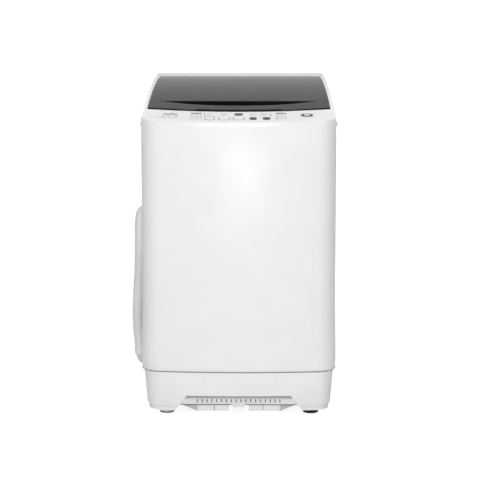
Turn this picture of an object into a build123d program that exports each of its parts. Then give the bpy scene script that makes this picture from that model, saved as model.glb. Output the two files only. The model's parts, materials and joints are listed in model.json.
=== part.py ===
from build123d import *
import os
from math import cos, sin, tan, pi, radians, degrees, atan2, hypot, sqrt

# Compact top load washing machine, in millimetres.
# +X is the viewer's right, -Y the front, +Z up; the origin is on the floor below the cabinet's centre.

# ---- cabinet ----
width = 530.0            # cabinet, side to side
depth = 540.0            # cabinet, front to back
bow_radius = 1870.0      # the front is gently bowed in plan
front_corner = 58.0      # plan radius of the front corners
rear_corner = 20.0       # plan radius of the rear corners
sheet = 1.0              # steel sheet of cabinet and rear panel
rear_setback = 3.0       # the steel cabinet stops short of the cover and base behind
seam_z = 126.0           # top of the base, bottom of the steel cabinet
rim_z = 750.0            # top of the steel cabinet, bottom of the top cover
rear_flange = 30.0       # width of the cabinet's rear return flanges
screw_pitch = 132.0      # rear panel screws, up the panel
screw_radius = 1.8

# ---- top cover and lid ----
cover_wall = 3.0
cover_top_lean = 23.0    # how far the cover's sides lean in at its highest point
cover_mid_lean = 7.0     # and half way up
side_overshoot = 1.2     # the leaning side starts this far outside the cabinet, so it begins above the rim
rear_top_z = 912.0       # highest line of the cover, at its back
panel_foot_z = 808.9     # where the panel's slope would meet the front face
nose_radius = 13.0       # round edge between front face and panel
panel_deep = 87.0        # control panel, front face to lid
rear_ledge = 55.0        # top cover behind the lid
lid_front_z = 833.4
lid_back_z = 905.8
lid_crown = 16.0         # rise of the lid's arch above its chord
lid_front_inset = 16.0   # lid's front corners, in from the cabinet's side
lid_back_inset = 33.0    # and its rear corners
lid_depth = 16.0         # depth of the lid's rim
lid_skin = 3.0
lid_gap = 1.4            # gap around the lid
lid_seat = 22.0          # depth of the lid's recess in the cover
grip_inset = 37.0        # ends of the grip recess, in from the lid's front corners
grip_setback = 72.0      # back edge of the grip recess, behind the lid's front edge
grip_reach = 28.0        # widest opening of the grip recess, at its middle
grip_depth = 12.0
mouth_inset = 56.0       # loading mouth, in from the tub's side
mouth_foot_z = 792.0     # lower edge of the mouth's collar
hinge_radius = 9.0       # round rear edge of the lid, about the hinge pin
pin_radius = 4.0
pin_length = 22.0

# ---- control strip ----
film_inset = 33.0        # ends of the control strip, in from the cabinet's side
film_thick = 1.0
film_proud = 0.2
smile_radius = 1000.0    # curved lower edge of the control strip
film_top_gap = 3.0
button_row = 36.0        # buttons, back from the front face
button_long = 18.0       # button size along the panel's slope
button_high = 8.0
button_proud = 1.2
button_gap = 0.4
button_travel = 1.5
light_buttons = {"button_power": (-77.7, 24.0), "button_water": (-38.0, 30.0), "button_mode": (0.3, 29.0)}
dark_buttons = {"button_drain": (39.0, 20.0), "button_start": (75.0, 21.0)}
window_row = 65.5        # display, back from the front face
window_size = (24.0, 19.0)
badge_inset = 81.0
badge_row = 59.0
badge_size = (33.0, 20.0)
board_drop = 16.0

# ---- base and feet ----
base_wall = 3.0
base_top_inset = 3.0
base_low_inset = 11.0
base_low_z = 40.0
lip_inset = 16.0
foot_height = 14.0       # ground clearance of the base
recess_top_z = 57.5
recess_slant = 32.0      # how far each end of the recess slants in
recess_foot_gap = 25.0   # between the recess's lower end and the foot's centre
recess_deep = 24.0
recess_face_z = 30.5
vent_margin = 23.0       # solid strip beyond the last vent
vent_pitch = 13.4
vent_size = (3.0, 9.0)
vent_z = 41.0
foot_inset = 65.0        # front feet, in from the cabinet's side and front
foot_rear_inset = 60.0
foot_radius = 19.0
pad_high = 5.0
screw_foot_radius = 21.0
screw_foot_disc = 11.0
foot_stem = 5.0
foot_plug = 9.0          # plug of a fixed foot
boss_top_z = 33.0        # top of the fixed feet's bosses
guard_inner_x = 28.0
guard_inset = 61.0       # outer end of the guard's lip, in from the recess's end
guard_low_z = 11.0
cap_radius = 11.0
cap_high = 4.0
cap_row = 90.0           # side caps, back from the front face
cap_z = 800.0

# ---- tub, drum and drive ----
tub_sway = 36.0          # room around the tub inside the cabinet
tub_wall = 3.0
tub_foot_z = 270.0
tub_rim_z = 738.0
tub_mouth_step = 10.0    # tub cover's mouth, wider than the loading mouth
seal_radius = 30.0
drum_gap = 14.0          # between the drum and the tub
drum_wall = 1.0
drum_foot_z = 306.0
drum_rim_z = 728.0
ring_step = 8.0          # balance ring's mouth, narrower than the loading mouth
ring_high = 42.0
filter_half = 52.0       # half width of the lint filter's back plate
filter_gap = 1.46        # between that plate's edges and the drum's wall
pulsator_gap = 46.0      # between the pulsator and the drum's wall
pulsator_fins = 4
pulsator_z = 326.0
screw_seat = 12.0
wash_shaft_radius = 8.0
spin_shaft_radius = 12.5
running_fit = 0.05
running_gap = 0.3        # between the belt and the pulleys
bearing_outer = 26.0
bearing_high = 15.0
gear_radius = 70.0
gear_foot_z = 172.0
frame_inset = 63.0       # tub frame, in from the tub's side
frame_thick = 2.5
pulley_radius = 75.0
motor_pulley_radius = 20.0
pulley_z = 135.0
pulley_high = 16.0
belt_thick = 5.0
belt_high = 9.0
motor_y = 150.0
motor_radius = 64.0
motor_shaft_radius = 6.0
rod_side_inset = 53.0    # suspension rods, in from the cabinet's side
rod_end_inset = 64.0     # and from its front and back
rod_radius = 4.0
rod_foot_z = 205.0
rod_top_z = 744.0
spring_radius = 17.0
spring_wire = 4.0
spring_turns = 7.0
spring_foot_z = 212.0
lug_z = 322.0            # underside of the tub's lugs
lug_high = 22.0
drain_x = -130.0
drain_y = 60.0
valve_z = 226.0
valve_radius = 24.0
valve_bore = 18.0
valve_neck = 16.0        # outside of the valve's inlet and outlet necks
neck_bore = 11.0
bellows_top_z = 201.0
bellows_foot_z = 150.0

# ---- water in and out ----
inlet_inset = 115.0
inlet_z = 852.0
inlet_radius = 13.2      # G3/4 outside thread
inlet_bore = 9.0
drawer_half = 78.0
drawer_setback = 65.0    # drawer's front, in from the lid's back edge
drawer_deep = 92.0
drawer_low_z = 816.0
drawer_high = 46.0
drawer_wall = 2.0
pipe_radius = 15.0
pipe_wall = 3.0
outlet_y = 190.0
outlet_z = 50.0
hose_radius = 15.0
elbow_radius = 18.0
elbow_x = -296.0
elbow_top_z = 84.0
cuff_length = 26.0
guide_radius = 75.0
guide_y = 115.0
guide_z = 435.0
guide_foot_z = 392.0
guide_x = -289.0
guide_gap = 0.8
guide_wall = 2.6
hook_z = 500.0           # slot in the cabinet that the holder hooks into
gland_inset = 60.0
gland_z = 690.0
gland_radius = 9.0
gland_bore = 4.2

# Route of the hanging drain hose: elbow, rear leg, over the holder, front leg.
hose_route = [
    (-296.0, 190.0, 84.0), (-296.0, 190.0, 158.0), (-299.0, 189.0, 236.0), (-294.0, 190.0, 312.0),
    (-289.0, 190.0, 386.0), (-289.0, 190.0, 466.1), (-289.0, 146.1, 510.0), (-289.0, 83.9, 510.0),
    (-289.0, 40.0, 466.1), (-289.0, 40.0, 386.0), (-294.0, 39.0, 306.0), (-298.0, 41.0, 234.0),
    (-297.0, 42.0, 182.0), (-292.0, 40.0, 131.0),
]

half_width = width / 2
half_depth = depth / 2
cover_top_half = half_width - cover_top_lean
cover_mid_half = half_width - cover_mid_lean
lid_front_y = panel_deep - half_depth
lid_back_y = half_depth - rear_ledge
lid_front_half = half_width - lid_front_inset
lid_back_half = half_width - lid_back_inset
grip_half = lid_front_half - grip_inset
grip_back_y = lid_front_y + grip_setback
film_half = half_width - film_inset
button_row_y = button_row - half_depth
window_y = window_row - half_depth
badge_place = (half_width - badge_inset, badge_row - half_depth)
cap_y = cap_row - half_depth
foot_x = half_width - foot_inset
foot_front_y = foot_inset - half_depth
foot_rear_y = half_depth - foot_rear_inset
recess_low_half = foot_x - recess_foot_gap
recess_top_half = recess_low_half - recess_slant
vent_count = int(2 * (recess_top_half - vent_margin) // vent_pitch) + 1
guard_outer_x = recess_low_half - guard_inset
tub_radius = min(half_width, half_depth) - sheet - tub_sway
mouth_radius = tub_radius - mouth_inset
tub_mouth = mouth_radius + tub_mouth_step
ring_inner = mouth_radius - ring_step
frame_half = tub_radius - frame_inset
rod_x = half_width - rod_side_inset
rod_y = half_depth - rod_end_inset
inlet_x = half_width - inlet_inset
drawer_front_y = lid_back_y - drawer_setback
gland_x = half_width - gland_inset
panel_rise = (lid_front_z - panel_foot_z) / (lid_front_y + half_depth)
panel_angle = degrees(atan2(lid_front_z - panel_foot_z, lid_front_y + half_depth))
drum_radius = tub_radius - tub_wall - drum_gap
pulsator_radius = drum_radius - pulsator_gap
hinge_y = lid_back_y - hinge_radius
rear_y = half_depth - rear_setback
panel_mid_y = (lid_front_y - half_depth) / 2
cap_tip = half_width + cap_high
plate_z = rod_top_z
neck_y = drain_y + 30

os.makedirs("parts", exist_ok=True)


# ---- small helpers ----
def save(node, *shapes):
    """Write one node: a solid, or a group of separate solids."""
    solids = [s for shape in shapes for s in shape.solids()]
    shape = solids[0] if len(solids) == 1 else Compound(children=solids)
    export_step(shape, f"parts/{node}.step")


def block(x0, x1, y0, y1, z0, z1):
    return Pos((x0 + x1) / 2, (y0 + y1) / 2, (z0 + z1) / 2) * Box(x1 - x0, y1 - y0, z1 - z0)


def disc(radius, z0, z1, x=0.0, y=0.0):
    return Pos(x, y, (z0 + z1) / 2) * Cylinder(radius, z1 - z0)


def ring(outer, inner, z0, z1, x=0.0, y=0.0):
    return disc(outer, z0, z1, x, y) - disc(inner, z0 - 1, z1 + 1, x, y)


def bar(start, end, radius):
    """A round bar from one point to another."""
    axis = Vector(*end) - Vector(*start)
    return Plane(origin=start, z_dir=axis) * Pos(0, 0, axis.length / 2) * Cylinder(radius, axis.length)


def turned(points):
    """A closed outline of (radius, height) points, turned about the drum's axis."""
    return revolve(Plane.XZ * make_face(Polyline(*points, close=True)), Axis.Z)


def plan(inset=0.0, rear_inset=0.0):
    """The cabinet's outline in plan, moved in by inset: bowed front, rounded corners."""
    half = half_width - inset
    back = half_depth - inset - rear_inset
    radius = bow_radius - inset
    corner_y = bow_radius - half_depth - sqrt(radius**2 - half**2)
    front = ThreePointArc((-half, corner_y), (0, inset - half_depth), (half, corner_y))
    face = make_face([front, Polyline((half, corner_y), (half, back), (-half, back), (-half, corner_y))])
    face = fillet(face.vertices().group_by(Axis.Y)[-1], max(rear_corner - inset, 2.0))
    return fillet(face.vertices().filter_by(lambda v: v.Y < 0 and abs(abs(v.X) - half) < 0.01),
                  front_corner - inset)


def arch_z(y):
    """Height of the lid's top, one circle through its front edge, crown and back edge."""
    run = (lid_back_y - lid_front_y) / 2
    rise = (lid_back_z - lid_front_z) / 2
    half_chord = hypot(run, rise)
    sagitta = lid_crown * run / half_chord
    radius = (half_chord**2 + sagitta**2) / (2 * sagitta)
    below = radius - sagitta
    centre_y = (lid_front_y + lid_back_y) / 2 + below * rise / half_chord
    centre_z = (lid_front_z + lid_back_z) / 2 - below * run / half_chord
    return centre_z + sqrt(radius**2 - (y - centre_y) ** 2)


hinge_z = arch_z(hinge_y) - hinge_radius


def arch(drop, start, end):
    """The curve of the lid's top between two depths, lowered by drop."""
    return ThreePointArc(*[(y, arch_z(y) - drop) for y in (start, (start + end) / 2, end)])


def below_arch(drop, floor_z=600.0):
    """Everything under the lid's arch lowered by drop, past both its ends."""
    start, end = lid_front_y - 12, lid_back_y + 12
    legs = Polyline((end, arch_z(end) - drop), (end, floor_z), (start, floor_z), (start, arch_z(start) - drop))
    return extrude(Plane.YZ * make_face([arch(drop, start, end), legs]), half_width, both=True)


def between_arches(high_drop, low_drop):
    """The space between two lowered copies of the lid's arch."""
    return below_arch(high_drop) - below_arch(low_drop, 500.0)


def panel_z(y):
    return panel_foot_z + (y + half_depth) * panel_rise


def panel_at(x, y, lift=0.0):
    """A place on the sloping control panel, its local z square to the panel."""
    tilt = radians(panel_angle)
    return Plane(origin=(x, y, panel_z(y)), x_dir=(1, 0, 0), z_dir=(0, -sin(tilt), cos(tilt))) * Pos(0, 0, lift)


def cover_side(inset=0.0):
    """Side view of the top cover, moved in by inset and filled down to the cabinet's rim."""
    front = -half_depth + inset
    back = half_depth - inset
    foot = rim_z - (1 if inset else 0)
    panel_start = (front, panel_z(front) - inset)
    tail = (back, rear_top_z - inset)
    outline = [arch(inset, lid_front_y, lid_back_y),
               Polyline((lid_back_y, lid_back_z - inset), tail, (back, foot), (front, foot), panel_start,
                        (lid_front_y, lid_front_z - inset))]
    face = make_face(outline)
    nose = face.vertices().sort_by_distance(Vertex(*panel_start))[0]
    face = fillet(nose, nose_radius - inset)
    corner = face.vertices().sort_by_distance(Vertex(*tail))[0]
    return extrude(Plane.YZ * fillet(corner, 8.0 - inset), half_width, both=True)


def cover_front(inset=0.0):
    """Front view of the top cover: sides that lean in towards the top."""
    foot = rim_z - (1 if inset else 0)
    low, middle, high = half_width + side_overshoot - inset, cover_mid_half - inset, cover_top_half - inset
    mid_z = (rim_z + rear_top_z) / 2
    right = ThreePointArc((low, foot), (middle, mid_z), (high, rear_top_z + 4))
    left = ThreePointArc((-low, foot), (-middle, mid_z), (-high, rear_top_z + 4))
    ends = [Line((-low, foot), (low, foot)), Line((-high, rear_top_z + 4), (high, rear_top_z + 4))]
    return extrude(Plane.XZ * make_face([right, left, *ends]), half_depth, both=True)


def lid_plan(grow=0.0):
    """The lid's outline in plan, grown by grow: front edge concentric with the cabinet's front."""
    front_half = lid_front_half + grow
    back_half = lid_back_half + grow
    radius = bow_radius - (lid_front_y + half_depth) + grow
    centre_y = lid_front_y + radius - grow
    corner_y = centre_y - sqrt(radius**2 - front_half**2)
    back = lid_back_y + grow
    front = ThreePointArc((-front_half, corner_y), (0, centre_y - radius), (front_half, corner_y))
    sides = Polyline((front_half, corner_y), (back_half, back), (-back_half, back), (-front_half, corner_y))
    face = make_face([front, sides])
    face = fillet(face.vertices().group_by(Axis.Y)[-1], 14.0 + grow)
    return fillet(face.vertices().filter_by(lambda v: v.Y < 0 and abs(abs(v.X) - front_half) < 0.01),
                  6.0 + grow)


def upright(face, low, high):
    return Pos(0, 0, low) * extrude(face, high - low)


# ---- cabinet ----
def cabinet():
    outline = plan(0, rear_setback) - plan(sheet, rear_setback)
    shell = upright(outline, seam_z, rim_z)
    window = half_width - rear_flange
    shell -= block(-window, window, 0, half_depth, seam_z - 1, rim_z + 1)
    shell -= block(-half_width - 2, -half_width + 2, guide_y - 13, guide_y + 13, hook_z - 3, hook_z + 11)
    for place in screw_places():
        shell -= bar((place[0], rear_y - 5, place[1]), (place[0], rear_y + 5, place[1]), screw_radius)
    save("cabinet_shell", shell)

    half = half_width - sheet - 2
    panel = block(-half, half, rear_y - 2 * sheet, rear_y - sheet, seam_z + 4, rim_z - 4)
    panel &= upright(plan(sheet + 0.3, rear_setback), seam_z, rim_z)
    for z in (250, 400, 550):
        panel += block(-half + 60, half - 60, rear_y - 2 * sheet - 5, rear_y - 2 * sheet, z - 12, z + 12)
        panel -= block(-half + 61, half - 61, rear_y - 2 * sheet - 4, rear_y, z - 11, z + 11)
    panel -= bar((gland_x, rear_y - 5, gland_z), (gland_x, rear_y + 5, gland_z), gland_radius)
    for place in screw_places():
        panel -= bar((place[0], rear_y - 5, place[1]), (place[0], rear_y + 5, place[1]), screw_radius)
    save("rear_panel", panel)

    screws = []
    for x, z in screw_places():
        head = bar((x, rear_y, z), (x, rear_y + 2.5, z), 5.0)
        screws.append(head + bar((x, rear_y - 8, z), (x, rear_y + 1, z), screw_radius))
    save("rear_screws", *screws)

    gland = bar((gland_x, rear_y - sheet, gland_z), (gland_x, half_depth, gland_z), gland_radius + 5)
    gland += bar((gland_x, rear_y - 16, gland_z), (gland_x, rear_y, gland_z), gland_radius)
    gland -= bar((gland_x, rear_y - 20, gland_z), (gland_x, half_depth + 5, gland_z), gland_bore)
    save("cord_gland", gland)


def screw_places():
    """(x, z) of the rear panel's screws."""
    low = seam_z + 40
    count = int((rim_z - 30 - low) // screw_pitch) + 1
    return [(side * (half_width - rear_flange + 7), low + i * screw_pitch) for side in (-1, 1)
            for i in range(count)]


# ---- top cover, lid and controls ----
def film_outline():
    """The control strip in plan: straight sides, concentric back edge, smile-shaped front edge."""
    front_y = -half_depth + nose_radius * tan(radians(90 - panel_angle) / 2)
    back_y = lid_front_y - film_top_gap
    back_radius = bow_radius - (lid_front_y + half_depth)
    front_end = front_y + smile_radius - sqrt(smile_radius**2 - film_half**2)
    back_end = back_y + back_radius - sqrt(back_radius**2 - film_half**2)
    front = ThreePointArc((-film_half, front_end), (0, front_y), (film_half, front_end))
    back = ThreePointArc((-film_half, back_end), (0, back_y), (film_half, back_end))
    ends = [Line((x, front_end), (x, back_end)) for x in (-film_half, film_half)]
    face = make_face([front, back, *ends])
    return fillet(face.vertices(), 7.0)


def on_panel(shape, x, y, low, high):
    """A flat shape raised square to the panel from low to high."""
    return panel_at(x, y, low) * extrude(shape, high - low)


def pill(length, width, grow=0.0):
    long, wide = length + 2 * grow, width + 2 * grow
    return RectangleRounded(long, wide, min(long, wide) / 2 - 0.6)


def cover_block():
    """The top cover as one solid lump."""
    return upright(plan(), rim_z, rear_top_z + 2) & cover_side() & cover_front()


def top_cover():
    lump = cover_block()
    hollow = cover_side(cover_wall) & cover_front(cover_wall) & upright(plan(cover_wall), rim_z - 1, rear_top_z)
    seat_plan = upright(lid_plan(lid_gap), 600, rear_top_z + 20)
    tray = upright(lid_plan(lid_gap + cover_wall), 600, rear_top_z) & between_arches(1.0, lid_seat + cover_wall)
    collar = ring(mouth_radius + cover_wall, mouth_radius, mouth_foot_z, rear_top_z) & below_arch(lid_seat + 1)
    cover = (lump - hollow) + tray - (seat_plan & between_arches(-60, lid_seat)) + collar
    cover -= disc(mouth_radius, mouth_foot_z - 1, rear_top_z)

    half = drawer_half + drawer_wall + 4
    cover -= block(-half, half, drawer_front_y - 30, lid_back_y,
                   drawer_low_z - 4, drawer_low_z + drawer_high + 4)
    film_seat = upright(film_outline(), rim_z, rear_top_z)
    cover -= film_seat & (panel_at(0, panel_mid_y, film_proud - film_thick + 15) * Box(width, 140, 30))
    for x, length in button_places():
        cover -= on_panel(pill(length, button_long, button_gap), x, button_row_y, -12, 2)
    cover -= on_panel(Rectangle(window_size[0] - 4, window_size[1] - 4), 0, window_y, -12, 2)
    cover -= bar((inlet_x, half_depth - 12, inlet_z), (inlet_x, half_depth + 5, inlet_z), inlet_radius + 16)
    for side in (-1, 1):
        cover -= bar((side * (lid_back_half - pin_length), hinge_y, hinge_z),
                     (side * (lid_back_half + lid_gap + cover_wall), hinge_y, hinge_z), pin_radius)
    save("top_cover", cover)

    caps = []
    for side in (-1, 1):
        dome = Pos(side * cap_tip, cap_y, cap_z) * Rot(0, -90 * side, 0) * Pos(0, 0, cap_high * 2)
        dome *= Cone(cap_radius, cap_radius * 0.55, cap_high * 4, rotation=(180, 0, 0))
        caps.append(dome - lump)
    save("side_caps", *caps)


def button_places():
    return [*light_buttons.values(), *dark_buttons.values()]


def lid():
    outline = upright(lid_plan(), 600, rear_top_z + 20)
    rear = block(-half_width, half_width, hinge_y, half_depth, 600, rear_top_z + 20)
    roll = bar((-half_width, hinge_y, hinge_z), (half_width, hinge_y, hinge_z), hinge_radius) & outline
    slab = (outline & between_arches(0, lid_depth)) - rear + roll
    hollow = upright(lid_plan(-lid_skin), 600, rear_top_z) & between_arches(lid_skin, lid_depth + 20)
    hollow -= block(-half_width, half_width, hinge_y - 14, half_depth, 600, rear_top_z)
    around = lid_skin - 0.5
    hollow -= block(-grip_half - around, grip_half + around, grip_back_y - grip_reach - around,
                    grip_back_y + around, 600, rear_top_z)
    front_y = grip_back_y - grip_reach
    smile = ThreePointArc((-grip_half, grip_back_y), (0, front_y), (grip_half, grip_back_y))
    grip = make_face([smile, Line((grip_half, grip_back_y), (-grip_half, grip_back_y))])
    slab = slab - hollow - (upright(grip, 600, rear_top_z) & between_arches(-20, grip_depth))
    pins = []
    for side in (-1, 1):
        inner, outer = lid_back_half - pin_length, lid_back_half + lid_gap + cover_wall
        slab -= bar((side * (inner - 1), hinge_y, hinge_z), (side * (outer + 1), hinge_y, hinge_z),
                    pin_radius + running_fit)
        pins.append(bar((side * inner, hinge_y, hinge_z), (side * outer, hinge_y, hinge_z), pin_radius))
    save("lid_panel", slab)
    save("hinge_pins", *pins)


def controls():
    slope = panel_at(0, panel_mid_y, film_proud - film_thick / 2) * Box(width, 140, film_thick)
    film = upright(film_outline(), rim_z, rear_top_z) & slope
    for x, length in button_places():
        film -= on_panel(pill(length, button_long, button_gap), x, button_row_y, -4, 4)
    lens = pill(*window_size)
    film -= on_panel(lens, 0, window_y, -4, 4)
    save("control_film", film)
    save("display_window", on_panel(lens, 0, window_y, film_proud - film_thick, film_proud + 0.4))
    oval = Ellipse(badge_size[0] / 2, badge_size[1] / 2)
    save("badge", on_panel(oval, *badge_place, film_proud, film_proud + 1.2))

    board_size = (2 * film_half - 130, 56)
    save("control_board", on_panel(Rectangle(*board_size), 0, panel_mid_y, -board_drop - 1.6, -board_drop))
    for name, (x, length) in {**light_buttons, **dark_buttons}.items():
        top = film_proud + button_proud
        key = on_panel(pill(length, button_long), x, button_row_y, -button_high, top)
        key = fillet(key.faces().sort_by(Axis.Z)[-1].edges(), 0.8)
        flange_top = -cover_wall - film_thick - 0.6
        key += on_panel(pill(length, button_long, 1.2), x, button_row_y, flange_top - 1.6, flange_top)
        key += on_panel(Rectangle(7, 5), x, button_row_y, button_travel + 0.4 - board_drop, flange_top)
        save(name, key)

    side, back = lid_back_half - 20, lid_back_y - 19
    top = arch_z(back - 10) - lid_seat - cover_wall - 6
    switch = block(side - 26, side, back - 20, back, top - 18, top)
    save("lid_switch", switch)


# ---- base and feet ----
def base_lump(extra=0.0):
    """The base as a lump: tapering sides above a set-back lip."""
    high = Pos(0, 0, seam_z) * plan(base_top_inset + extra)
    low = Pos(0, 0, base_low_z) * plan(base_low_inset + extra)
    return loft([low, high], ruled=True) + upright(plan(lip_inset + extra), foot_height, base_low_z + 1)


def feet_places():
    return [(-foot_x, foot_front_y), (-foot_x, foot_rear_y), (foot_x, foot_rear_y), (foot_x, foot_front_y)]


def recess_shape(grow, start, end):
    """The front recess as a solid between two depths, its outline grown by grow."""
    low_z = foot_height - 20
    slope = (recess_low_half - recess_top_half) / (recess_top_z - foot_height)
    low_half = recess_low_half + slope * (foot_height - low_z) + grow
    outline = Polyline((-low_half, low_z), (low_half, low_z), (recess_top_half + grow, recess_top_z + grow),
                       (-recess_top_half - grow, recess_top_z + grow), close=True)
    return Pos(0, end, 0) * extrude(Plane.XZ * make_face(outline), end - start)


def base():
    lump = base_lump()
    deep_y = -half_depth + recess_deep
    skirt = lump - (base_lump(base_wall) & block(-width, width, -depth, depth, 0, seam_z - base_wall))
    skirt -= upright(plan(base_top_inset + 24), seam_z - 10, seam_z + 1)
    skirt += recess_shape(base_wall, -half_depth, deep_y + base_wall) & lump
    skirt -= recess_shape(0, -half_depth - 20, deep_y)
    skirt -= block(-recess_low_half, recess_low_half, deep_y - 5, deep_y + base_wall + 1, 0, recess_face_z)
    tab = block(-16.5, 16.5, deep_y, deep_y + base_wall, recess_face_z - 8, recess_face_z + 1)
    skirt += tab
    for i in range(vent_count):
        x = (i - (vent_count - 1) / 2) * vent_pitch
        skirt -= block(x - vent_size[0] / 2, x + vent_size[0] / 2, deep_y - 1, deep_y + base_wall + 1,
                       vent_z - vent_size[1] / 2, vent_z + vent_size[1] / 2)
    for x, y in feet_places():
        gusset = block(*sorted((x * 0.87, x * 2)), *sorted((y * 0.78, y * 2)), foot_height, foot_height + 4)
        skirt += (disc(foot_radius + 4, foot_height, boss_top_z, x, y) + gusset) & lump
    for x, y in feet_places()[:3]:
        skirt -= disc(foot_plug, foot_height - 1, boss_top_z - 2, x, y)
    x, y = feet_places()[3]
    skirt += disc(foot_radius, foot_height, base_low_z + 24, x, y)
    skirt -= disc(foot_stem + running_fit, foot_height - 1, base_low_z + 30, x, y)
    skirt -= bar((-half_width, outlet_y, outlet_z), (-half_width + 30, outlet_y, outlet_z), pipe_radius)
    save("base_skirt", skirt)

    feet, pads = [], []
    for x, y in feet_places()[:3]:
        feet.append(disc(foot_radius, pad_high, foot_height, x, y) + disc(foot_plug, pad_high, boss_top_z - 3, x, y))
        pads.append(disc(foot_radius + 1, 0, pad_high, x, y))
    save("fixed_feet", *feet)
    save("foot_pads", *pads)
    screw_foot = disc(screw_foot_radius, 0, screw_foot_disc, x=foot_x, y=foot_front_y)
    save("leveling_foot", screw_foot + disc(foot_stem, 0, base_low_z + 16, foot_x, foot_front_y))

    plate_y = deep_y + base_wall + 1
    guard = block(-guard_outer_x, guard_outer_x, plate_y, plate_y + 110, guard_low_z, guard_low_z + 2)
    for side in (-1, 1):
        inner, outer = sorted((side * guard_inner_x, side * guard_outer_x))
        guard += block(inner, outer, plate_y, plate_y + 2, guard_low_z, recess_face_z - 1)
        wing = Polyline((guard_outer_x * side, plate_y), (side * (guard_outer_x + 46), plate_y + 16),
                        (side * (guard_outer_x + 46), plate_y + 18), (guard_outer_x * side, plate_y + 2), close=True)
        guard += upright(make_face(wing), guard_low_z, recess_face_z - 6)
    save("bottom_guard", guard)


# ---- hanging tub ----
def corners():
    return [(sx * rod_x, sy * rod_y) for sx in (-1, 1) for sy in (-1, 1)]


def suspension():
    plates, seats, rods, springs, bushes = [], [], [], [], []
    inside = upright(plan(sheet + 0.3, rear_setback + sheet), rim_z - 20, rim_z)
    for x, y in corners():
        sx, sy = x / abs(x), y / abs(y)
        plate = block(*sorted((x - sx * 34, x + sx * 80)), *sorted((y - sy * 34, y + sy * 80)), plate_z - 2.5, plate_z)
        plates.append((plate & inside) - disc(14, plate_z - 3, plate_z + 1, x, y))
        seats.append(ring(17, rod_radius + 0.3, plate_z, plate_z + 4, x, y)
                     + ring(14, rod_radius + 0.3, plate_z - 5, plate_z + 0.5, x, y))
        rod = disc(rod_radius, rod_foot_z, plate_z + 8, x, y) + disc(9, plate_z + 4, plate_z + 9, x, y)
        rods.append(rod + disc(spring_radius + 4, rod_foot_z, spring_foot_z - 1, x, y))
        bushes.append(ring(20, rod_radius + 1, lug_z, lug_z + lug_high, x, y)
                      + ring(24, rod_radius + 1, lug_z - 4, lug_z, x, y))
        height = lug_z - 5 - spring_foot_z
        coil = Helix(height / spring_turns - 0.3, height - spring_wire, spring_radius)
        wire = sweep(Plane(coil @ 0, z_dir=coil % 0) * Circle(spring_wire / 2), path=coil, is_frenet=True)
        springs.append(Pos(x, y, spring_foot_z + spring_wire / 2) * wire)
    save("hanger_plates", *plates)
    save("rod_seats", *seats)
    save("suspension_rods", *rods)
    save("suspension_springs", *springs)
    save("lug_bushes", *bushes)


def tub():
    wall = ring(tub_radius, tub_radius - tub_wall, tub_foot_z, tub_rim_z) + disc(tub_radius, tub_foot_z, tub_foot_z + 4)
    wall += ring(tub_radius + 3, tub_radius - 1, tub_rim_z - 6, tub_rim_z)
    for x, y in corners():
        reach = hypot(x, y)
        lug = block(tub_radius - 1, reach + 28, -30, 30, lug_z, lug_z + lug_high)
        wall += Rot(0, 0, degrees(atan2(y, x))) * lug
    for x, y in corners():
        wall -= disc(20, lug_z - 1, lug_z + lug_high + 1, x, y)
    wall -= disc(seal_radius, tub_foot_z - 1, tub_foot_z + 5)
    wall -= disc(neck_bore, tub_foot_z - 1, tub_foot_z + 5, drain_x, neck_y)
    save("outer_tub", wall)
    save("shaft_seal", ring(seal_radius, spin_shaft_radius + running_fit, tub_foot_z, tub_foot_z + 7))

    skirt_in, skirt_out = tub_radius + 3.2, tub_radius + 6
    save("tub_cover", turned([(tub_mouth, tub_rim_z + 1), (tub_mouth, tub_rim_z + 9), (tub_mouth + 5, tub_rim_z + 9),
                              (tub_mouth + 8, tub_rim_z + 4), (skirt_out, tub_rim_z + 4), (skirt_out, tub_rim_z - 9),
                              (skirt_in, tub_rim_z - 9), (skirt_in, tub_rim_z + 1)]))

    frame_z = tub_foot_z - frame_thick
    low, high = -frame_half, frame_half
    rear = motor_y + motor_radius + 2
    plate = block(low, high, low, rear, frame_z, tub_foot_z)
    for x in (low, high - frame_thick):
        plate += block(x, x + frame_thick, low, rear, frame_z - 14, frame_z)
    plate -= disc(seal_radius + 12, frame_z - 1, tub_foot_z + 1)
    plate -= disc(valve_neck + 2, frame_z - 1, tub_foot_z + 1, drain_x, neck_y)
    save("tub_frame", plate)


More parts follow.
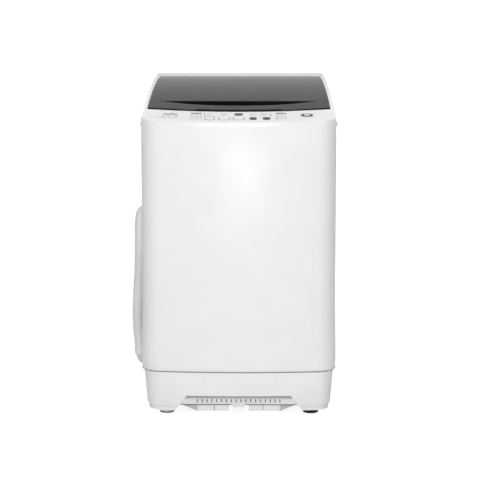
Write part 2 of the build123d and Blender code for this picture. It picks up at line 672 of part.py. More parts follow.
def drive():
    frame_z = tub_foot_z - frame_thick
    case = disc(gear_radius, gear_foot_z, frame_z) + disc(gear_radius + 25, frame_z - 6, frame_z)
    case -= disc(gear_radius - 10, gear_foot_z + 22, frame_z - 26)
    case -= disc(bearing_outer, gear_foot_z - 1, gear_foot_z + bearing_high + 2)
    case -= disc(bearing_outer, frame_z - bearing_high - 4, frame_z + 1)
    case -= disc(bearing_outer - 5, gear_foot_z - 1, frame_z + 1)
    save("gear_case", case)
    bore = spin_shaft_radius + running_fit
    low, high = gear_foot_z + 2, frame_z - bearing_high - 4
    save("hub_bearings", ring(bearing_outer, bore, low, low + bearing_high),
         ring(bearing_outer, bore, high, high + bearing_high))

    save("spin_shaft", ring(spin_shaft_radius, wash_shaft_radius + running_fit, gear_foot_z - 8, drum_foot_z))
    save("wash_shaft", disc(wash_shaft_radius, pulley_z - 8, pulsator_z + 12))
    pulley = ring(pulley_radius, pulley_radius - 9, pulley_z, pulley_z + pulley_high)
    pulley += ring(pulley_radius - 8, wash_shaft_radius, pulley_z + 6, pulley_z + 10)
    pulley += ring(22, wash_shaft_radius, pulley_z, pulley_z + pulley_high)
    for angle in range(0, 360, 60):
        pulley -= Rot(0, 0, angle) * disc(13, pulley_z, pulley_z + pulley_high, x=44)
    save("drive_pulley", pulley)
    small = ring(motor_pulley_radius, motor_shaft_radius, pulley_z, pulley_z + pulley_high)
    save("motor_pulley", Pos(0, motor_y, 0) * small)
    inner, outer = running_gap, running_gap + belt_thick
    belt_z = pulley_z + (pulley_high - belt_high) / 2
    belt = upright(belt_outline(outer) - belt_outline(inner), belt_z, belt_z + belt_high)
    save("drive_belt", belt)

    housing = disc(motor_radius, gear_foot_z, frame_z - 7, y=motor_y)
    housing += block(-60, 60, gear_radius + 30, motor_y + motor_radius, frame_z - 7, frame_z)
    housing -= disc(motor_radius - 22, gear_foot_z + 8, frame_z - 12, y=motor_y)
    housing -= disc(motor_shaft_radius + running_fit, gear_foot_z - 1, frame_z - 8, y=motor_y)
    save("motor_housing", housing)
    rotor = disc(motor_radius - 24, gear_foot_z + 12, frame_z - 16, y=motor_y)
    save("motor_rotor", rotor + disc(motor_shaft_radius, pulley_z - 4, frame_z - 14, y=motor_y))


def belt_outline(grow):
    """Outline of a belt round both pulleys, that far outside them."""
    big, small = pulley_radius + grow, motor_pulley_radius + grow
    lean = (big - small) / motor_y
    side = sqrt(1 - lean**2)
    straight = Polygon((-big * side, big * lean), (big * side, big * lean),
                       (small * side, motor_y + small * lean), (-small * side, motor_y + small * lean), align=None)
    return Circle(big) + Pos(0, motor_y) * Circle(small) + straight


def drum():
    skin = ring(drum_radius, drum_radius - drum_wall, drum_foot_z, drum_rim_z)
    skin += ring(drum_radius, 30, drum_foot_z, drum_foot_z + 2)
    save("spin_basket", skin)
    hub = ring(95, spin_shaft_radius, drum_foot_z - 7, drum_foot_z) + ring(29, spin_shaft_radius, drum_foot_z - 20,
                                                                         drum_foot_z)
    save("basket_hub", hub)
    outer = drum_radius - drum_wall
    low = drum_rim_z - ring_high
    save("balance_ring", turned([(ring_inner + 10, low), (outer, low), (outer, drum_rim_z), (outer + 1, drum_rim_z),
                                 (outer + 1, drum_rim_z + 3), (ring_inner + 16, drum_rim_z + 3),
                                 (ring_inner, drum_rim_z - 12), (ring_inner, low + 10)]))
    clip_y = sqrt((drum_radius - drum_wall)**2 - filter_half**2) - filter_gap + 8
    filter_box = block(-45, 45, clip_y - 34, clip_y - 8, 470, 640)
    filter_box += block(-filter_half, filter_half, clip_y - 12, clip_y - 8, 462, 650)
    filter_box -= block(-42, 42, clip_y - 31, clip_y - 13, 473, 637)
    filter_box += block(-30, 30, clip_y - 10, clip_y - 4, 640, 648)
    save("lint_filter", filter_box)


def wash():
    low = pulsator_z - 14
    bowl = turned([(wash_shaft_radius, low), (22, low), (26, low + 6), (pulsator_radius - 25, low + 6),
                   (pulsator_radius - 2, low + 22), (pulsator_radius, low + 26), (pulsator_radius - 6, low + 26),
                   (pulsator_radius - 27, low + 11), (70, low + 12), (48, low + 22), (26, low + 27),
                   (wash_shaft_radius, low + 27)])
    for i in range(pulsator_fins):
        fin = Plane.XZ * make_face(Polyline((30, low + 9), (pulsator_radius - 14, low + 14),
                                            (pulsator_radius - 30, low + 30), (90, low + 40), (44, low + 42),
                                            (30, low + 30), close=True))
        bowl += Rot(0, 0, 360 * i / pulsator_fins + 20) * extrude(fin, 7, both=True)
    bowl -= disc(wash_shaft_radius, low - 1, pulsator_z + 12)
    bowl -= disc(screw_seat, pulsator_z + 12, pulsator_z + 60)
    save("pulsator", bowl)
    save("pulsator_screw", disc(screw_seat - 1, pulsator_z + 12, pulsator_z + 18))


# ---- water ----
def water():
    axis = (drain_x, drain_y)
    barrel = bar((axis[0], axis[1] - 40, valve_z), (axis[0], axis[1] + 52, valve_z), valve_radius)
    barrel += disc(valve_neck, valve_z, tub_foot_z, drain_x, neck_y)
    barrel += disc(valve_neck, bellows_top_z - 8, valve_z, drain_x, neck_y)
    barrel -= bar((axis[0], axis[1] - 34, valve_z), (axis[0], axis[1] + 46, valve_z), valve_bore)
    barrel -= disc(neck_bore, bellows_top_z - 10, tub_foot_z + 1, drain_x, neck_y)
    barrel -= bar((axis[0], axis[1] - 60, valve_z), (axis[0], axis[1], valve_z), 3.5)
    save("drain_valve_body", barrel)
    plug = bar((axis[0], axis[1] - 12, valve_z), (axis[0], axis[1] + 10, valve_z), valve_bore - 0.5)
    plug += bar((axis[0], axis[1] - 80, valve_z), (axis[0], axis[1], valve_z), 3.0)
    save("drain_plunger", plug)
    frame_z = tub_foot_z - frame_thick
    puller = block(axis[0] - 24, axis[0] + 24, -88, axis[1] - 98, valve_z - 22, valve_z + 22)
    puller += block(axis[0] - 16, axis[0] + 16, -80, -50, valve_z + 20, frame_z)
    save("drain_actuator", puller)
    save("drain_bellows", ring(valve_neck + 3, valve_neck, bellows_foot_z, bellows_top_z, drain_x, neck_y))

    line = FilletPolyline((drain_x, neck_y, bellows_foot_z + 8), (drain_x, neck_y, outlet_z + 12),
                          (drain_x - 60, outlet_y, outlet_z), (-half_width + 1, outlet_y, outlet_z), radius=28)
    save("drain_outlet", tube(line, pipe_radius) - tube(line, pipe_radius - pipe_wall))

    wall_x = -half_width + base_low_inset - 3.5
    bend = FilletPolyline((wall_x, outlet_y, outlet_z), (elbow_x, outlet_y, outlet_z),
                          (elbow_x, outlet_y, elbow_top_z), radius=20)
    elbow = tube(bend, elbow_radius) - tube(bend, pipe_radius - pipe_wall)
    elbow -= bar((-half_width + 1, outlet_y, outlet_z), (wall_x + 5, outlet_y, outlet_z), pipe_radius)
    save("drain_elbow", elbow)

    radii = []
    for before, point, after in zip(hose_route, hose_route[1:], hose_route[2:]):
        first, second = Vector(*point) - Vector(*before), Vector(*after) - Vector(*point)
        half_turn = radians(first.get_angle(second)) / 2
        radii.append(0.45 * min(first.length, second.length) / tan(half_turn))
    print("hose radii", [round(r) for r in radii])
    route = FilletPolyline(*hose_route, radius=radii)
    hose = tube(route, hose_radius)
    print("hose length", round(route.length), "volume over section times length",
          round(hose.volume / (pi * hose_radius**2 * route.length), 4))
    save("drain_hose", hose)
    end, before_end = Vector(*hose_route[-1]), Vector(*hose_route[-2])
    tip = end + (end - before_end).normalized() * cuff_length
    cuff = bar(tuple(end), tuple(tip), hose_radius + 1) - bar(tuple(end), tuple(tip), hose_radius - 2)
    save("hose_cuff", cuff)
    hose_holder()


def tube(path, radius):
    return sweep(Plane(path @ 0, z_dir=path % 0) * Circle(radius), path=path)


def hose_holder():
    """The upside-down U that the hose lies in, open on its outer side, hooked into the cabinet."""
    front, back, top = guide_y - guide_radius, guide_y + guide_radius, guide_z + guide_radius
    centre = FilletPolyline((guide_x, back, guide_foot_z), (guide_x, back, top), (guide_x, front, top),
                            (guide_x, front, guide_foot_z), radius=guide_radius - 0.5)
    inner = hose_radius + guide_gap
    holder = tube(centre, inner + guide_wall) - tube(centre, inner)
    mouth_x = guide_x - hose_radius * 0.45
    holder -= block(guide_x - 40, mouth_x, guide_y - 150, guide_y + 150, guide_foot_z - 5, guide_z + 150)
    save("hose_guide", holder)


def dispenser():
    half, wall = drawer_half, drawer_wall
    front, back = drawer_front_y, drawer_front_y + drawer_deep
    low, high = drawer_low_z, drawer_low_z + drawer_high
    tray = block(-half, half, front, back, low, high)
    tray -= block(-half + wall, -1, front + 3, back - wall, low + wall, high + 1)
    tray -= block(1, half - wall, front + 3, back - wall, low + wall, high + 1)
    save("detergent_drawer", tray)
    gap = 1.0
    case = block(-half - gap - wall, half + gap + wall, front + 4, back + 6, low - gap - wall, high + gap + wall)
    case -= block(-half - gap, half + gap, front - 1, back + 4, low - gap, high + gap)
    save("dispenser_housing", case)

    spigot = bar((inlet_x, half_depth - 26, inlet_z), (inlet_x, half_depth - 2, inlet_z), inlet_radius)
    spigot += bar((inlet_x, half_depth - 30, inlet_z), (inlet_x, half_depth - 26, inlet_z), inlet_radius + 5)
    spigot += block(inlet_x - 15, inlet_x + 15, half_depth - 60, half_depth - 28, inlet_z - 18, inlet_z + 14)
    spigot += disc(14, inlet_z - 52, inlet_z - 10, x=inlet_x, y=half_depth - 46)
    spigot += bar((inlet_x - 10, half_depth - 46, inlet_z - 6), (half + gap + wall, half_depth - 46, inlet_z - 6), 6)
    spigot -= bar((inlet_x, half_depth - 24, inlet_z), (inlet_x, half_depth, inlet_z), inlet_bore)
    save("inlet_valve", spigot)


cabinet()
top_cover()
lid()
controls()
base()
suspension()
tub()
drive()
drum()
wash()
water()
dispenser()
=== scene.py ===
import json
import math
import bmesh
import bpy
from mathutils import Matrix, Vector


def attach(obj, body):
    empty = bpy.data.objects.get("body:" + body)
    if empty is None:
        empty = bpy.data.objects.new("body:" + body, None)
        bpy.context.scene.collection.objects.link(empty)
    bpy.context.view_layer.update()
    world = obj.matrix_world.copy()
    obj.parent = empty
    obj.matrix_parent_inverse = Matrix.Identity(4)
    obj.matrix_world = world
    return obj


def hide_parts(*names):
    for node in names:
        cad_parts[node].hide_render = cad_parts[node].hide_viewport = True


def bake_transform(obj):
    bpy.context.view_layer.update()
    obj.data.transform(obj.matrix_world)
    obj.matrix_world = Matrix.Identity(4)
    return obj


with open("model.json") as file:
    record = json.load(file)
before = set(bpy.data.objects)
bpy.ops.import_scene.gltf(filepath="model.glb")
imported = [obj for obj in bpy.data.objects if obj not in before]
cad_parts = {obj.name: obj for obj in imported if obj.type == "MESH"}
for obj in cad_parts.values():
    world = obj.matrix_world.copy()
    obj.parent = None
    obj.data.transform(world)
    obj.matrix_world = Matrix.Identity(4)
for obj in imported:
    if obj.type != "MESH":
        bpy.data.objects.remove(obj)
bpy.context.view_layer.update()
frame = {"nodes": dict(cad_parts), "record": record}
nodes = frame["nodes"]
mm = 0.001  # every shape below is made in millimetres
slotOf = {row["node"]: row["material_slot"] for row in frame["record"]["subparts"]}
print("frame loaded:", len(nodes), "nodes")

# the camera stands well back and looks slightly down
camera = {"distance": 4.47, "side": 0.0411, "height": 1.2, "tilt": 9.531, "turn": 0.505, "lens": 118.47}
eye = bpy.data.cameras.new("viewCamera")
eye.lens = camera["lens"]
eye.clip_end = 60
cameraObject = bpy.data.objects.new("viewCamera", eye)
cameraObject.location = (camera["side"], -camera["distance"], camera["height"])
cameraObject.rotation_euler = (math.radians(90 - camera["tilt"]), 0, math.radians(camera["turn"]))
bpy.context.scene.collection.objects.link(cameraObject)
bpy.context.scene.camera = cameraObject
bpy.context.scene.view_settings.view_transform = "Standard"


# helpers for shapes
def addPiece(name, shape, body, material, sharpAt=38, stand=()):
    # a finished shape becomes one piece on a body, and may stand for CAD nodes
    bmesh.ops.scale(shape, vec=(mm, mm, mm), verts=shape.verts)
    for edge in shape.edges:
        edge.smooth = len(edge.link_faces) != 2 or edge.calc_face_angle() < math.radians(sharpAt)
    for face in shape.faces:
        face.smooth = True
    mesh = bpy.data.meshes.new(name)
    shape.to_mesh(mesh)
    shape.free()
    for each in material if isinstance(material, (list, tuple)) else [material]:
        mesh.materials.append(each)
    piece = bpy.data.objects.new(name, mesh)
    bpy.context.scene.collection.objects.link(piece)
    if body:
        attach(piece, body)
    if stand:
        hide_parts(*stand)
    return piece


def joinShapes(shapes):
    whole = bmesh.new()
    for shape in shapes:
        mesh = bpy.data.meshes.new("joined")
        shape.to_mesh(mesh)
        shape.free()
        whole.from_mesh(mesh)
        bpy.data.meshes.remove(mesh)
    return whole


def moved(shape, matrix):
    bmesh.ops.transform(shape, matrix=matrix, verts=shape.verts)
    if matrix.determinant() < 0:
        bmesh.ops.reverse_faces(shape, faces=shape.faces)
    return shape


def roundEdges(shape, width, segments=2, angle=34, chosen=None):
    sharp = [e for e in shape.edges if len(e.link_faces) == 2 and e.calc_face_angle() > math.radians(angle)
             and (chosen is None or chosen(e))]
    bmesh.ops.bevel(shape, geom=sharp, offset=width, offset_type="OFFSET", segments=segments, profile=0.5,
                    affect="EDGES", clamp_overlap=True, material=-1)
    return shape


def splitFaces(shape):
    # faces with more than four corners become triangles
    bmesh.ops.triangulate(shape, faces=[f for f in shape.faces if len(f.verts) > 4])
    return shape


def cutShape(shape, place, normal, drop=False):
    # a plane cuts a shape in two, and may drop the half that its normal points into
    bmesh.ops.bisect_plane(shape, geom=shape.verts[:] + shape.edges[:] + shape.faces[:], plane_co=place,
                           plane_no=normal, clear_outer=drop)


def vertsOf(made):
    return [part for part in made if isinstance(part, bmesh.types.BMVert)]


def mirrored(side, near, far):
    # two distances from the middle plane, as a low and a high x on one side of it
    return sorted((side * near, side * far))


def boxShape(low, high, rounding=0.0):
    shape = bmesh.new()
    size = [b - a for a, b in zip(low, high)]
    middle = [(a + b) / 2 for a, b in zip(low, high)]
    bmesh.ops.create_cube(shape, size=1, matrix=Matrix.Translation(middle) @ Matrix.Diagonal((*size, 1)))
    return roundEdges(shape, rounding) if rounding else shape


def turnedShape(outline, steps):
    # (radius, height) points turned about the upright axis
    shape = bmesh.new()
    points = [shape.verts.new((r, 0, z)) for r, z in outline]
    edges = [shape.edges.new(pair) for pair in zip(points, points[1:] + points[:1])]
    bmesh.ops.spin(shape, geom=points + edges, axis=(0, 0, 1), cent=(0, 0, 0), angle=2 * math.pi, steps=steps,
                   use_merge=True, use_duplicate=False)
    bmesh.ops.remove_doubles(shape, verts=shape.verts, dist=0.001)
    bmesh.ops.recalc_face_normals(shape, faces=shape.faces)
    return shape


def facing(axis, at):
    # lays an upright shape along an axis, at a point
    turn = Vector((0, 0, 1)).rotation_difference(Vector(axis)).to_matrix().to_4x4()
    return Matrix.Translation(at) @ turn


def nodeShape(name, weld=0.002, flat=0.6):
    # a copy of a CAD node, its flat areas joined into single faces
    shape = bmesh.new()
    shape.from_mesh(nodes[name].data)
    bmesh.ops.scale(shape, vec=(1 / mm,) * 3, verts=shape.verts)
    bmesh.ops.remove_doubles(shape, verts=shape.verts, dist=weld)
    bmesh.ops.dissolve_limit(shape, angle_limit=math.radians(flat), verts=shape.verts, edges=shape.edges)
    return shape


# helpers for finishes
def newGroup(name, inputs, outputs):
    group = bpy.data.node_groups.new(name, "ShaderNodeTree")
    for label, kind, value in inputs:
        socket = group.interface.new_socket(label, in_out="INPUT", socket_type="NodeSocket" + kind)
        if value is not None:
            socket.default_value = value
    for label, kind in outputs:
        group.interface.new_socket(label, in_out="OUTPUT", socket_type="NodeSocket" + kind)
    return group, group.nodes.new("NodeGroupInput"), group.nodes.new("NodeGroupOutput")


def feed(tree, socket, value):
    # a number or a colour is set, and an output is joined
    if isinstance(value, tuple):
        socket.default_value = (*value, 1)
    elif isinstance(value, (int, float)):
        socket.default_value = value
    else:
        tree.links.new(value, socket)


def noise(tree, vector, scale, detail=3.0, rough=0.5):
    node = tree.nodes.new("ShaderNodeTexNoise")
    node.inputs["Detail"].default_value = detail
    node.inputs["Roughness"].default_value = rough
    tree.links.new(vector, node.inputs["Vector"])
    feed(tree, node.inputs["Scale"], scale)
    return node.outputs["Fac"]


def sums(tree, kind, *values):
    node = tree.nodes.new("ShaderNodeMath")
    node.operation = kind
    for socket, value in zip(node.inputs, values):
        feed(tree, socket, value)
    return node.outputs[0]


def span(tree, value, low, high, outLow=0.0, outHigh=1.0):
    node = tree.nodes.new("ShaderNodeMapRange")
    node.interpolation_type = "SMOOTHSTEP"
    for label, number in (("From Min", low), ("From Max", high), ("To Min", outLow), ("To Max", outHigh)):
        node.inputs[label].default_value = number
    tree.links.new(value, node.inputs["Value"])
    return node.outputs["Result"]


def blendColor(tree, factor, first, second):
    node = tree.nodes.new("ShaderNodeMix")
    node.data_type = "RGBA"
    for index, value in ((0, factor), (6, first), (7, second)):
        feed(tree, node.inputs[index], value)
    return node.outputs[2]


def axes(tree, vector):
    node = tree.nodes.new("ShaderNodeSeparateXYZ")
    tree.links.new(vector, node.inputs[0])
    return node.outputs


def stretched(tree, vector, scale):
    node = tree.nodes.new("ShaderNodeMapping")
    node.inputs["Scale"].default_value = scale
    tree.links.new(vector, node.inputs["Vector"])
    return node.outputs["Vector"]


# moulded or sprayed surface: a little uneven gloss, and fine texture for the bump
grainGroup, into, out = newGroup(
    "surfaceGrain", [("Vector", "Vector", None), ("Scale", "Float", 400.0), ("Gloss", "Float", 0.4),
                     ("Uneven", "Float", 0.05)], [("Roughness", "Float"), ("Height", "Float")])
cloudy = noise(grainGroup, into.outputs["Vector"], 9.0, 2.0)
fine = noise(grainGroup, into.outputs["Vector"], into.outputs["Scale"], 2.0)
lifted = sums(grainGroup, "MULTIPLY_ADD", sums(grainGroup, "SUBTRACT", cloudy, 0.5), into.outputs["Uneven"],
              into.outputs["Gloss"])
grainGroup.links.new(lifted, out.inputs["Roughness"])
grainGroup.links.new(fine, out.inputs["Height"])

# dust that settles on what faces up, thicker in soft patches
dustGroup, into, out = newGroup(
    "settledDust", [("Vector", "Vector", None), ("Color", "Color", (0.8, 0.8, 0.8, 1)),
                    ("Dust", "Color", (0.6, 0.58, 0.55, 1)), ("Amount", "Float", 0.1)],
    [("Color", "Color"), ("Mask", "Float")])
upward = axes(dustGroup, dustGroup.nodes.new("ShaderNodeNewGeometry").outputs["Normal"])["Z"]
patches = noise(dustGroup, into.outputs["Vector"], 23.0, 5.0, 0.65)
thick = sums(dustGroup, "MULTIPLY", span(dustGroup, upward, 0.35, 0.95), span(dustGroup, patches, 0.38, 0.72))
mask = sums(dustGroup, "MULTIPLY", thick, into.outputs["Amount"])
dusted = blendColor(dustGroup, mask, into.outputs["Color"], into.outputs["Dust"])
dustGroup.links.new(dusted, out.inputs["Color"])
dustGroup.links.new(mask, out.inputs["Mask"])

# grime that gathers low down and in soft streaks
grimeGroup, into, out = newGroup(
    "lowGrime", [("Vector", "Vector", None), ("Color", "Color", (0.8, 0.8, 0.8, 1)), ("Top", "Float", 0.15),
                 ("Amount", "Float", 0.1)], [("Color", "Color"), ("Mask", "Float")])
height = axes(grimeGroup, into.outputs["Vector"])["Z"]
low = sums(grimeGroup, "SUBTRACT", 1.0, sums(grimeGroup, "DIVIDE", height, into.outputs["Top"]))
streaks = noise(grimeGroup, stretched(grimeGroup, into.outputs["Vector"], (30, 30, 7)), 1.0, 4.0)
mask = sums(grimeGroup, "MULTIPLY", sums(grimeGroup, "MULTIPLY", span(grimeGroup, low, 0.0, 1.0),
                                         span(grimeGroup, streaks, 0.3, 0.75)), into.outputs["Amount"])
grimy = blendColor(grimeGroup, mask, into.outputs["Color"], (0.32, 0.30, 0.27))
grimeGroup.links.new(grimy, out.inputs["Color"])
grimeGroup.links.new(mask, out.inputs["Mask"])


def placeGroup(tree, group, vector, **values):
    node = tree.nodes.new("ShaderNodeGroup")
    node.node_tree = group
    tree.links.new(vector, node.inputs["Vector"])
    for label, value in values.items():
        feed(tree, node.inputs[label], value)
    return node.outputs


def finishOf(name, color, accent=None, gloss=0.4, uneven=0.06, scale=450.0, bump=0.05, metal=0.0, coat=0.0,
             dust=0.06, grime=0.0, pattern=None, specular=0.5, patchScale=14.0, coatGloss=0.08):
    # one finish: base colour with soft variation, dust, grime, and a fine bump
    material = bpy.data.materials.new(name)
    material.use_nodes = True
    tree = material.node_tree
    shader = tree.nodes["Principled BSDF"]
    vector = tree.nodes.new("ShaderNodeTexCoord").outputs["Object"]
    accent = accent or tuple(c * 0.94 for c in color)
    patches = span(tree, noise(tree, vector, patchScale, 3.0), 0.35, 0.65)
    if pattern:
        patches, ridges = pattern(tree, vector)
    base = blendColor(tree, patches, color, accent)
    if grime:
        base = placeGroup(tree, grimeGroup, vector, Color=base, Amount=grime)["Color"]
    if dust:
        base = placeGroup(tree, dustGroup, vector, Color=base, Amount=dust)["Color"]
    tree.links.new(base, shader.inputs["Base Color"])
    grain = placeGroup(tree, grainGroup, vector, Scale=scale, Gloss=gloss, Uneven=uneven)
    tree.links.new(grain["Roughness"], shader.inputs["Roughness"])
    bumps = tree.nodes.new("ShaderNodeBump")
    bumps.inputs["Strength"].default_value = 1.0
    bumps.inputs["Distance"].default_value = bump * mm
    heightIn = grain["Height"]
    if pattern:
        heightIn = sums(tree, "MULTIPLY_ADD", ridges, 2.0, grain["Height"])
    tree.links.new(heightIn, bumps.inputs["Height"])
    tree.links.new(bumps.outputs["Normal"], shader.inputs["Normal"])
    shader.inputs["Metallic"].default_value = metal
    shader.inputs["Coat Weight"].default_value = coat
    shader.inputs["Coat Roughness"].default_value = coatGloss
    shader.inputs["Specular IOR Level"].default_value = specular
    return material


# patterns give a mask between a finish's two colours, and ridges for its bump
def brushedUp(tree, vector):
    # fine upright brushing of stainless sheet
    lines = noise(tree, stretched(tree, vector, (900, 900, 14)), 1.0, 4.0, 0.7)
    return lines, sums(tree, "MULTIPLY", lines, 0.6)


def spangle(tree, vector):
    # crystals of hot-dip zinc
    cells = tree.nodes.new("ShaderNodeTexVoronoi")
    cells.inputs["Scale"].default_value = 110.0
    tree.links.new(vector, cells.inputs["Vector"])
    shade = axes(tree, cells.outputs["Color"])["X"]
    return shade, sums(tree, "MULTIPLY", shade, 0.2)


def sandCast(tree, vector):
    pits = noise(tree, vector, 260.0, 8.0, 0.75)
    return span(tree, pits, 0.35, 0.7), pits


def boardTracks(tree, vector):
    # copper tracks under green lacquer
    bricks = tree.nodes.new("ShaderNodeTexBrick")
    bricks.inputs["Scale"].default_value = 90.0
    bricks.inputs["Mortar Size"].default_value = 0.06
    tree.links.new(stretched(tree, vector, (1, 0.7, 1)), bricks.inputs["Vector"])
    return bricks.outputs["Fac"], bricks.outputs["Fac"]


def lamination(tree, vector):
    # stacked motor plates
    wave = tree.nodes.new("ShaderNodeTexWave")
    wave.bands_direction = "Z"
    wave.inputs["Scale"].default_value = 320.0
    wave.inputs["Distortion"].default_value = 0.3
    tree.links.new(vector, wave.inputs["Vector"])
    return wave.outputs["Fac"], wave.outputs["Fac"]


looks = {
    "enamel": dict(color=(0.83, 0.838, 0.845), accent=(0.815, 0.823, 0.832), gloss=0.34, uneven=0.05, scale=240,
                   bump=0.012, coat=0.35, dust=0.05, grime=0.05, coatGloss=0.16),
    "zinc_steel": dict(color=(0.55, 0.56, 0.57), accent=(0.42, 0.43, 0.45), gloss=0.42, metal=1.0, bump=0.02,
                       pattern=spangle, dust=0.2),
    "stainless": dict(color=(0.60, 0.60, 0.59), accent=(0.52, 0.52, 0.51), gloss=0.26, uneven=0.08, metal=1.0,
                      bump=0.015, pattern=brushedUp, dust=0.0),
    "white_plastic": dict(color=(0.84, 0.845, 0.85), accent=(0.82, 0.826, 0.832), gloss=0.36, uneven=0.05,
                          scale=900, bump=0.02, coat=0.15, dust=0.05, grime=0.05, coatGloss=0.14),
    "film_grey": dict(color=(0.80, 0.805, 0.81), accent=(0.785, 0.79, 0.797), gloss=0.3, uneven=0.05, scale=700,
                      bump=0.01, dust=0.04),
    "dark_lid": dict(color=(0.020, 0.0195, 0.019), accent=(0.024, 0.023, 0.022), gloss=0.12, uneven=0.05,
                     scale=160, bump=0.006, coat=0.25, dust=0.03, coatGloss=0.06, patchScale=5.0),
    "light_key": dict(color=(0.80, 0.81, 0.82), accent=(0.78, 0.79, 0.80), gloss=0.3, scale=800, bump=0.012),
    "dark_key": dict(color=(0.055, 0.057, 0.065), accent=(0.045, 0.047, 0.055), gloss=0.3, scale=800,
                     bump=0.015),
    "display_red": dict(color=(0.115, 0.022, 0.020), accent=(0.085, 0.015, 0.015), gloss=0.1, scale=500,
                        bump=0.004, coat=0.8, dust=0.03),
    "board_green": dict(color=(0.02, 0.13, 0.05), accent=(0.05, 0.25, 0.10), gloss=0.3, bump=0.04,
                        pattern=boardTracks, dust=0.1),
    "badge_metal": dict(color=(0.30, 0.30, 0.31), accent=(0.24, 0.24, 0.25), gloss=0.22, metal=1.0, bump=0.006,
                        dust=0.03),
    "rubber_black": dict(color=(0.022, 0.022, 0.023), accent=(0.035, 0.034, 0.033), gloss=0.7, scale=600,
                         bump=0.06, dust=0.25),
    "black_plastic": dict(color=(0.007, 0.007, 0.0075), accent=(0.011, 0.011, 0.0115), gloss=0.42, scale=700,
                          bump=0.04, dust=0.04, specular=0.35),
    "tub_plastic": dict(color=(0.62, 0.64, 0.66), accent=(0.56, 0.58, 0.60), gloss=0.5, scale=300, bump=0.05,
                        dust=0.25),
    "cast_alloy": dict(color=(0.50, 0.50, 0.51), accent=(0.38, 0.38, 0.39), gloss=0.5, metal=1.0, bump=0.08,
                       pattern=sandCast, dust=0.2),
    "motor_steel": dict(color=(0.34, 0.34, 0.36), accent=(0.20, 0.20, 0.22), gloss=0.4, metal=1.0, bump=0.05,
                        pattern=lamination, dust=0.15),
    "hose_grey": dict(color=(0.82, 0.825, 0.83), accent=(0.78, 0.785, 0.79), gloss=0.45, scale=500, bump=0.03,
                      dust=0.1),
    "holder_white": dict(color=(0.83, 0.835, 0.84), accent=(0.80, 0.805, 0.81), gloss=0.38, scale=700, bump=0.02,
                         dust=0.08),
}


def camelName(slot, ending):
    first, *others = slot.split("_")
    return first + "".join(word.title() for word in others) + ending


finishes = {slot: finishOf(camelName(slot, "Finish"), **look) for slot, look in looks.items()}
for node, piece in nodes.items():
    piece.data.materials.clear()
    piece.data.materials.append(finishes[slotOf[node]])
print("finishes made:", len(finishes))

# pale floor, a low wall behind, and soft lights
studio = {"floorSize": 30.0, "floorGlow": 0.86, "wallGlow": 1.02, "wallAt": 4.0, "wallHigh": 1.5, "world": 0.5,
          "leftShade": 0.0, "rightShade": 0.0, "floorFill": 0.46}


def studioSheet(name, place, glow):
    shape = bmesh.new()
    bmesh.ops.create_grid(shape, x_segments=1, y_segments=1, size=studio["floorSize"] / 2, matrix=place)
    mesh = bpy.data.meshes.new(name)
    shape.to_mesh(mesh)
    shape.free()
    sheet = bpy.data.objects.new(name, mesh)
    bpy.context.scene.collection.objects.link(sheet)
    finish = bpy.data.materials.new(name + "Paper")
    finish.use_nodes = True
    paper = finish.node_tree.nodes["Principled BSDF"]
    paper.inputs["Base Color"].default_value = (0.4, 0.4, 0.4, 1)
    paper.inputs["Roughness"].default_value = 0.9
    paper.inputs["Specular IOR Level"].default_value = 0.1
    paper.inputs["Emission Color"].default_value = (1, 1, 1, 1)
    seen = finish.node_tree.nodes.new("ShaderNodeLightPath").outputs["Is Camera Ray"]
    strength = span(finish.node_tree, seen, 0.0, 1.0, glow * studio["floorFill"], glow)
    finish.node_tree.links.new(strength, paper.inputs["Emission Strength"])
    mesh.materials.append(finish)


studioSheet("studioFloor", Matrix.Identity(4), studio["floorGlow"])
wallShare = studio["wallHigh"] / studio["floorSize"]
standing = Matrix.Rotation(math.pi / 2, 4, "X") @ Matrix.Diagonal((1, wallShare, 1, 1))
studioSheet("studioWall", Matrix.Translation((0, studio["wallAt"], studio["wallHigh"] / 2)) @ standing,
            studio["wallGlow"])

world = bpy.data.worlds.new("studioAir")
world.use_nodes = True
air = world.node_tree
air.nodes["Background"].inputs["Color"].default_value = (1, 1, 1, 1)
direction = axes(air, air.nodes.new("ShaderNodeTexCoord").outputs["Generated"])
leftShade = span(air, sums(air, "MULTIPLY", direction["X"], -1.0), 0.30, 0.92, 1.0, studio["leftShade"])
rightShade = span(air, direction["X"], 0.25, 0.85, 1.0, studio["rightShade"])
sideways = sums(air, "MULTIPLY", leftShade, rightShade)
air.links.new(sums(air, "MULTIPLY", sideways, studio["world"]), air.nodes["Background"].inputs["Strength"])
bpy.context.scene.world = world

lamps = {
    "topSoftbox": dict(place=(0.0, -0.9, 3.2), aim=(0, 0, 0.5), size=(3.0, 2.4), watts=46),
    "frontSoftbox": dict(place=(-0.1, -5.2, 2.4), aim=(0, 0, 0.5), size=(2.0, 1.6), watts=100),
    "lowSoftbox": dict(place=(0.05, -4.6, 0.12), aim=(0, 0, 0.55), size=(0.7, 0.4), watts=10),
}
for name, lamp in lamps.items():
    light = bpy.data.lights.new(name, "AREA")
    light.shape = "RECTANGLE"
    light.size, light.size_y = lamp["size"]
    light.energy = lamp["watts"]
    lightObject = bpy.data.objects.new(name, light)
    lightObject.location = lamp["place"]
    aim = Vector(lamp["aim"]) - Vector(lamp["place"])
    lightObject.rotation_euler = aim.to_track_quat("-Z", "Y").to_euler()
    bpy.context.scene.collection.objects.link(lightObject)
print("stage and lights set")

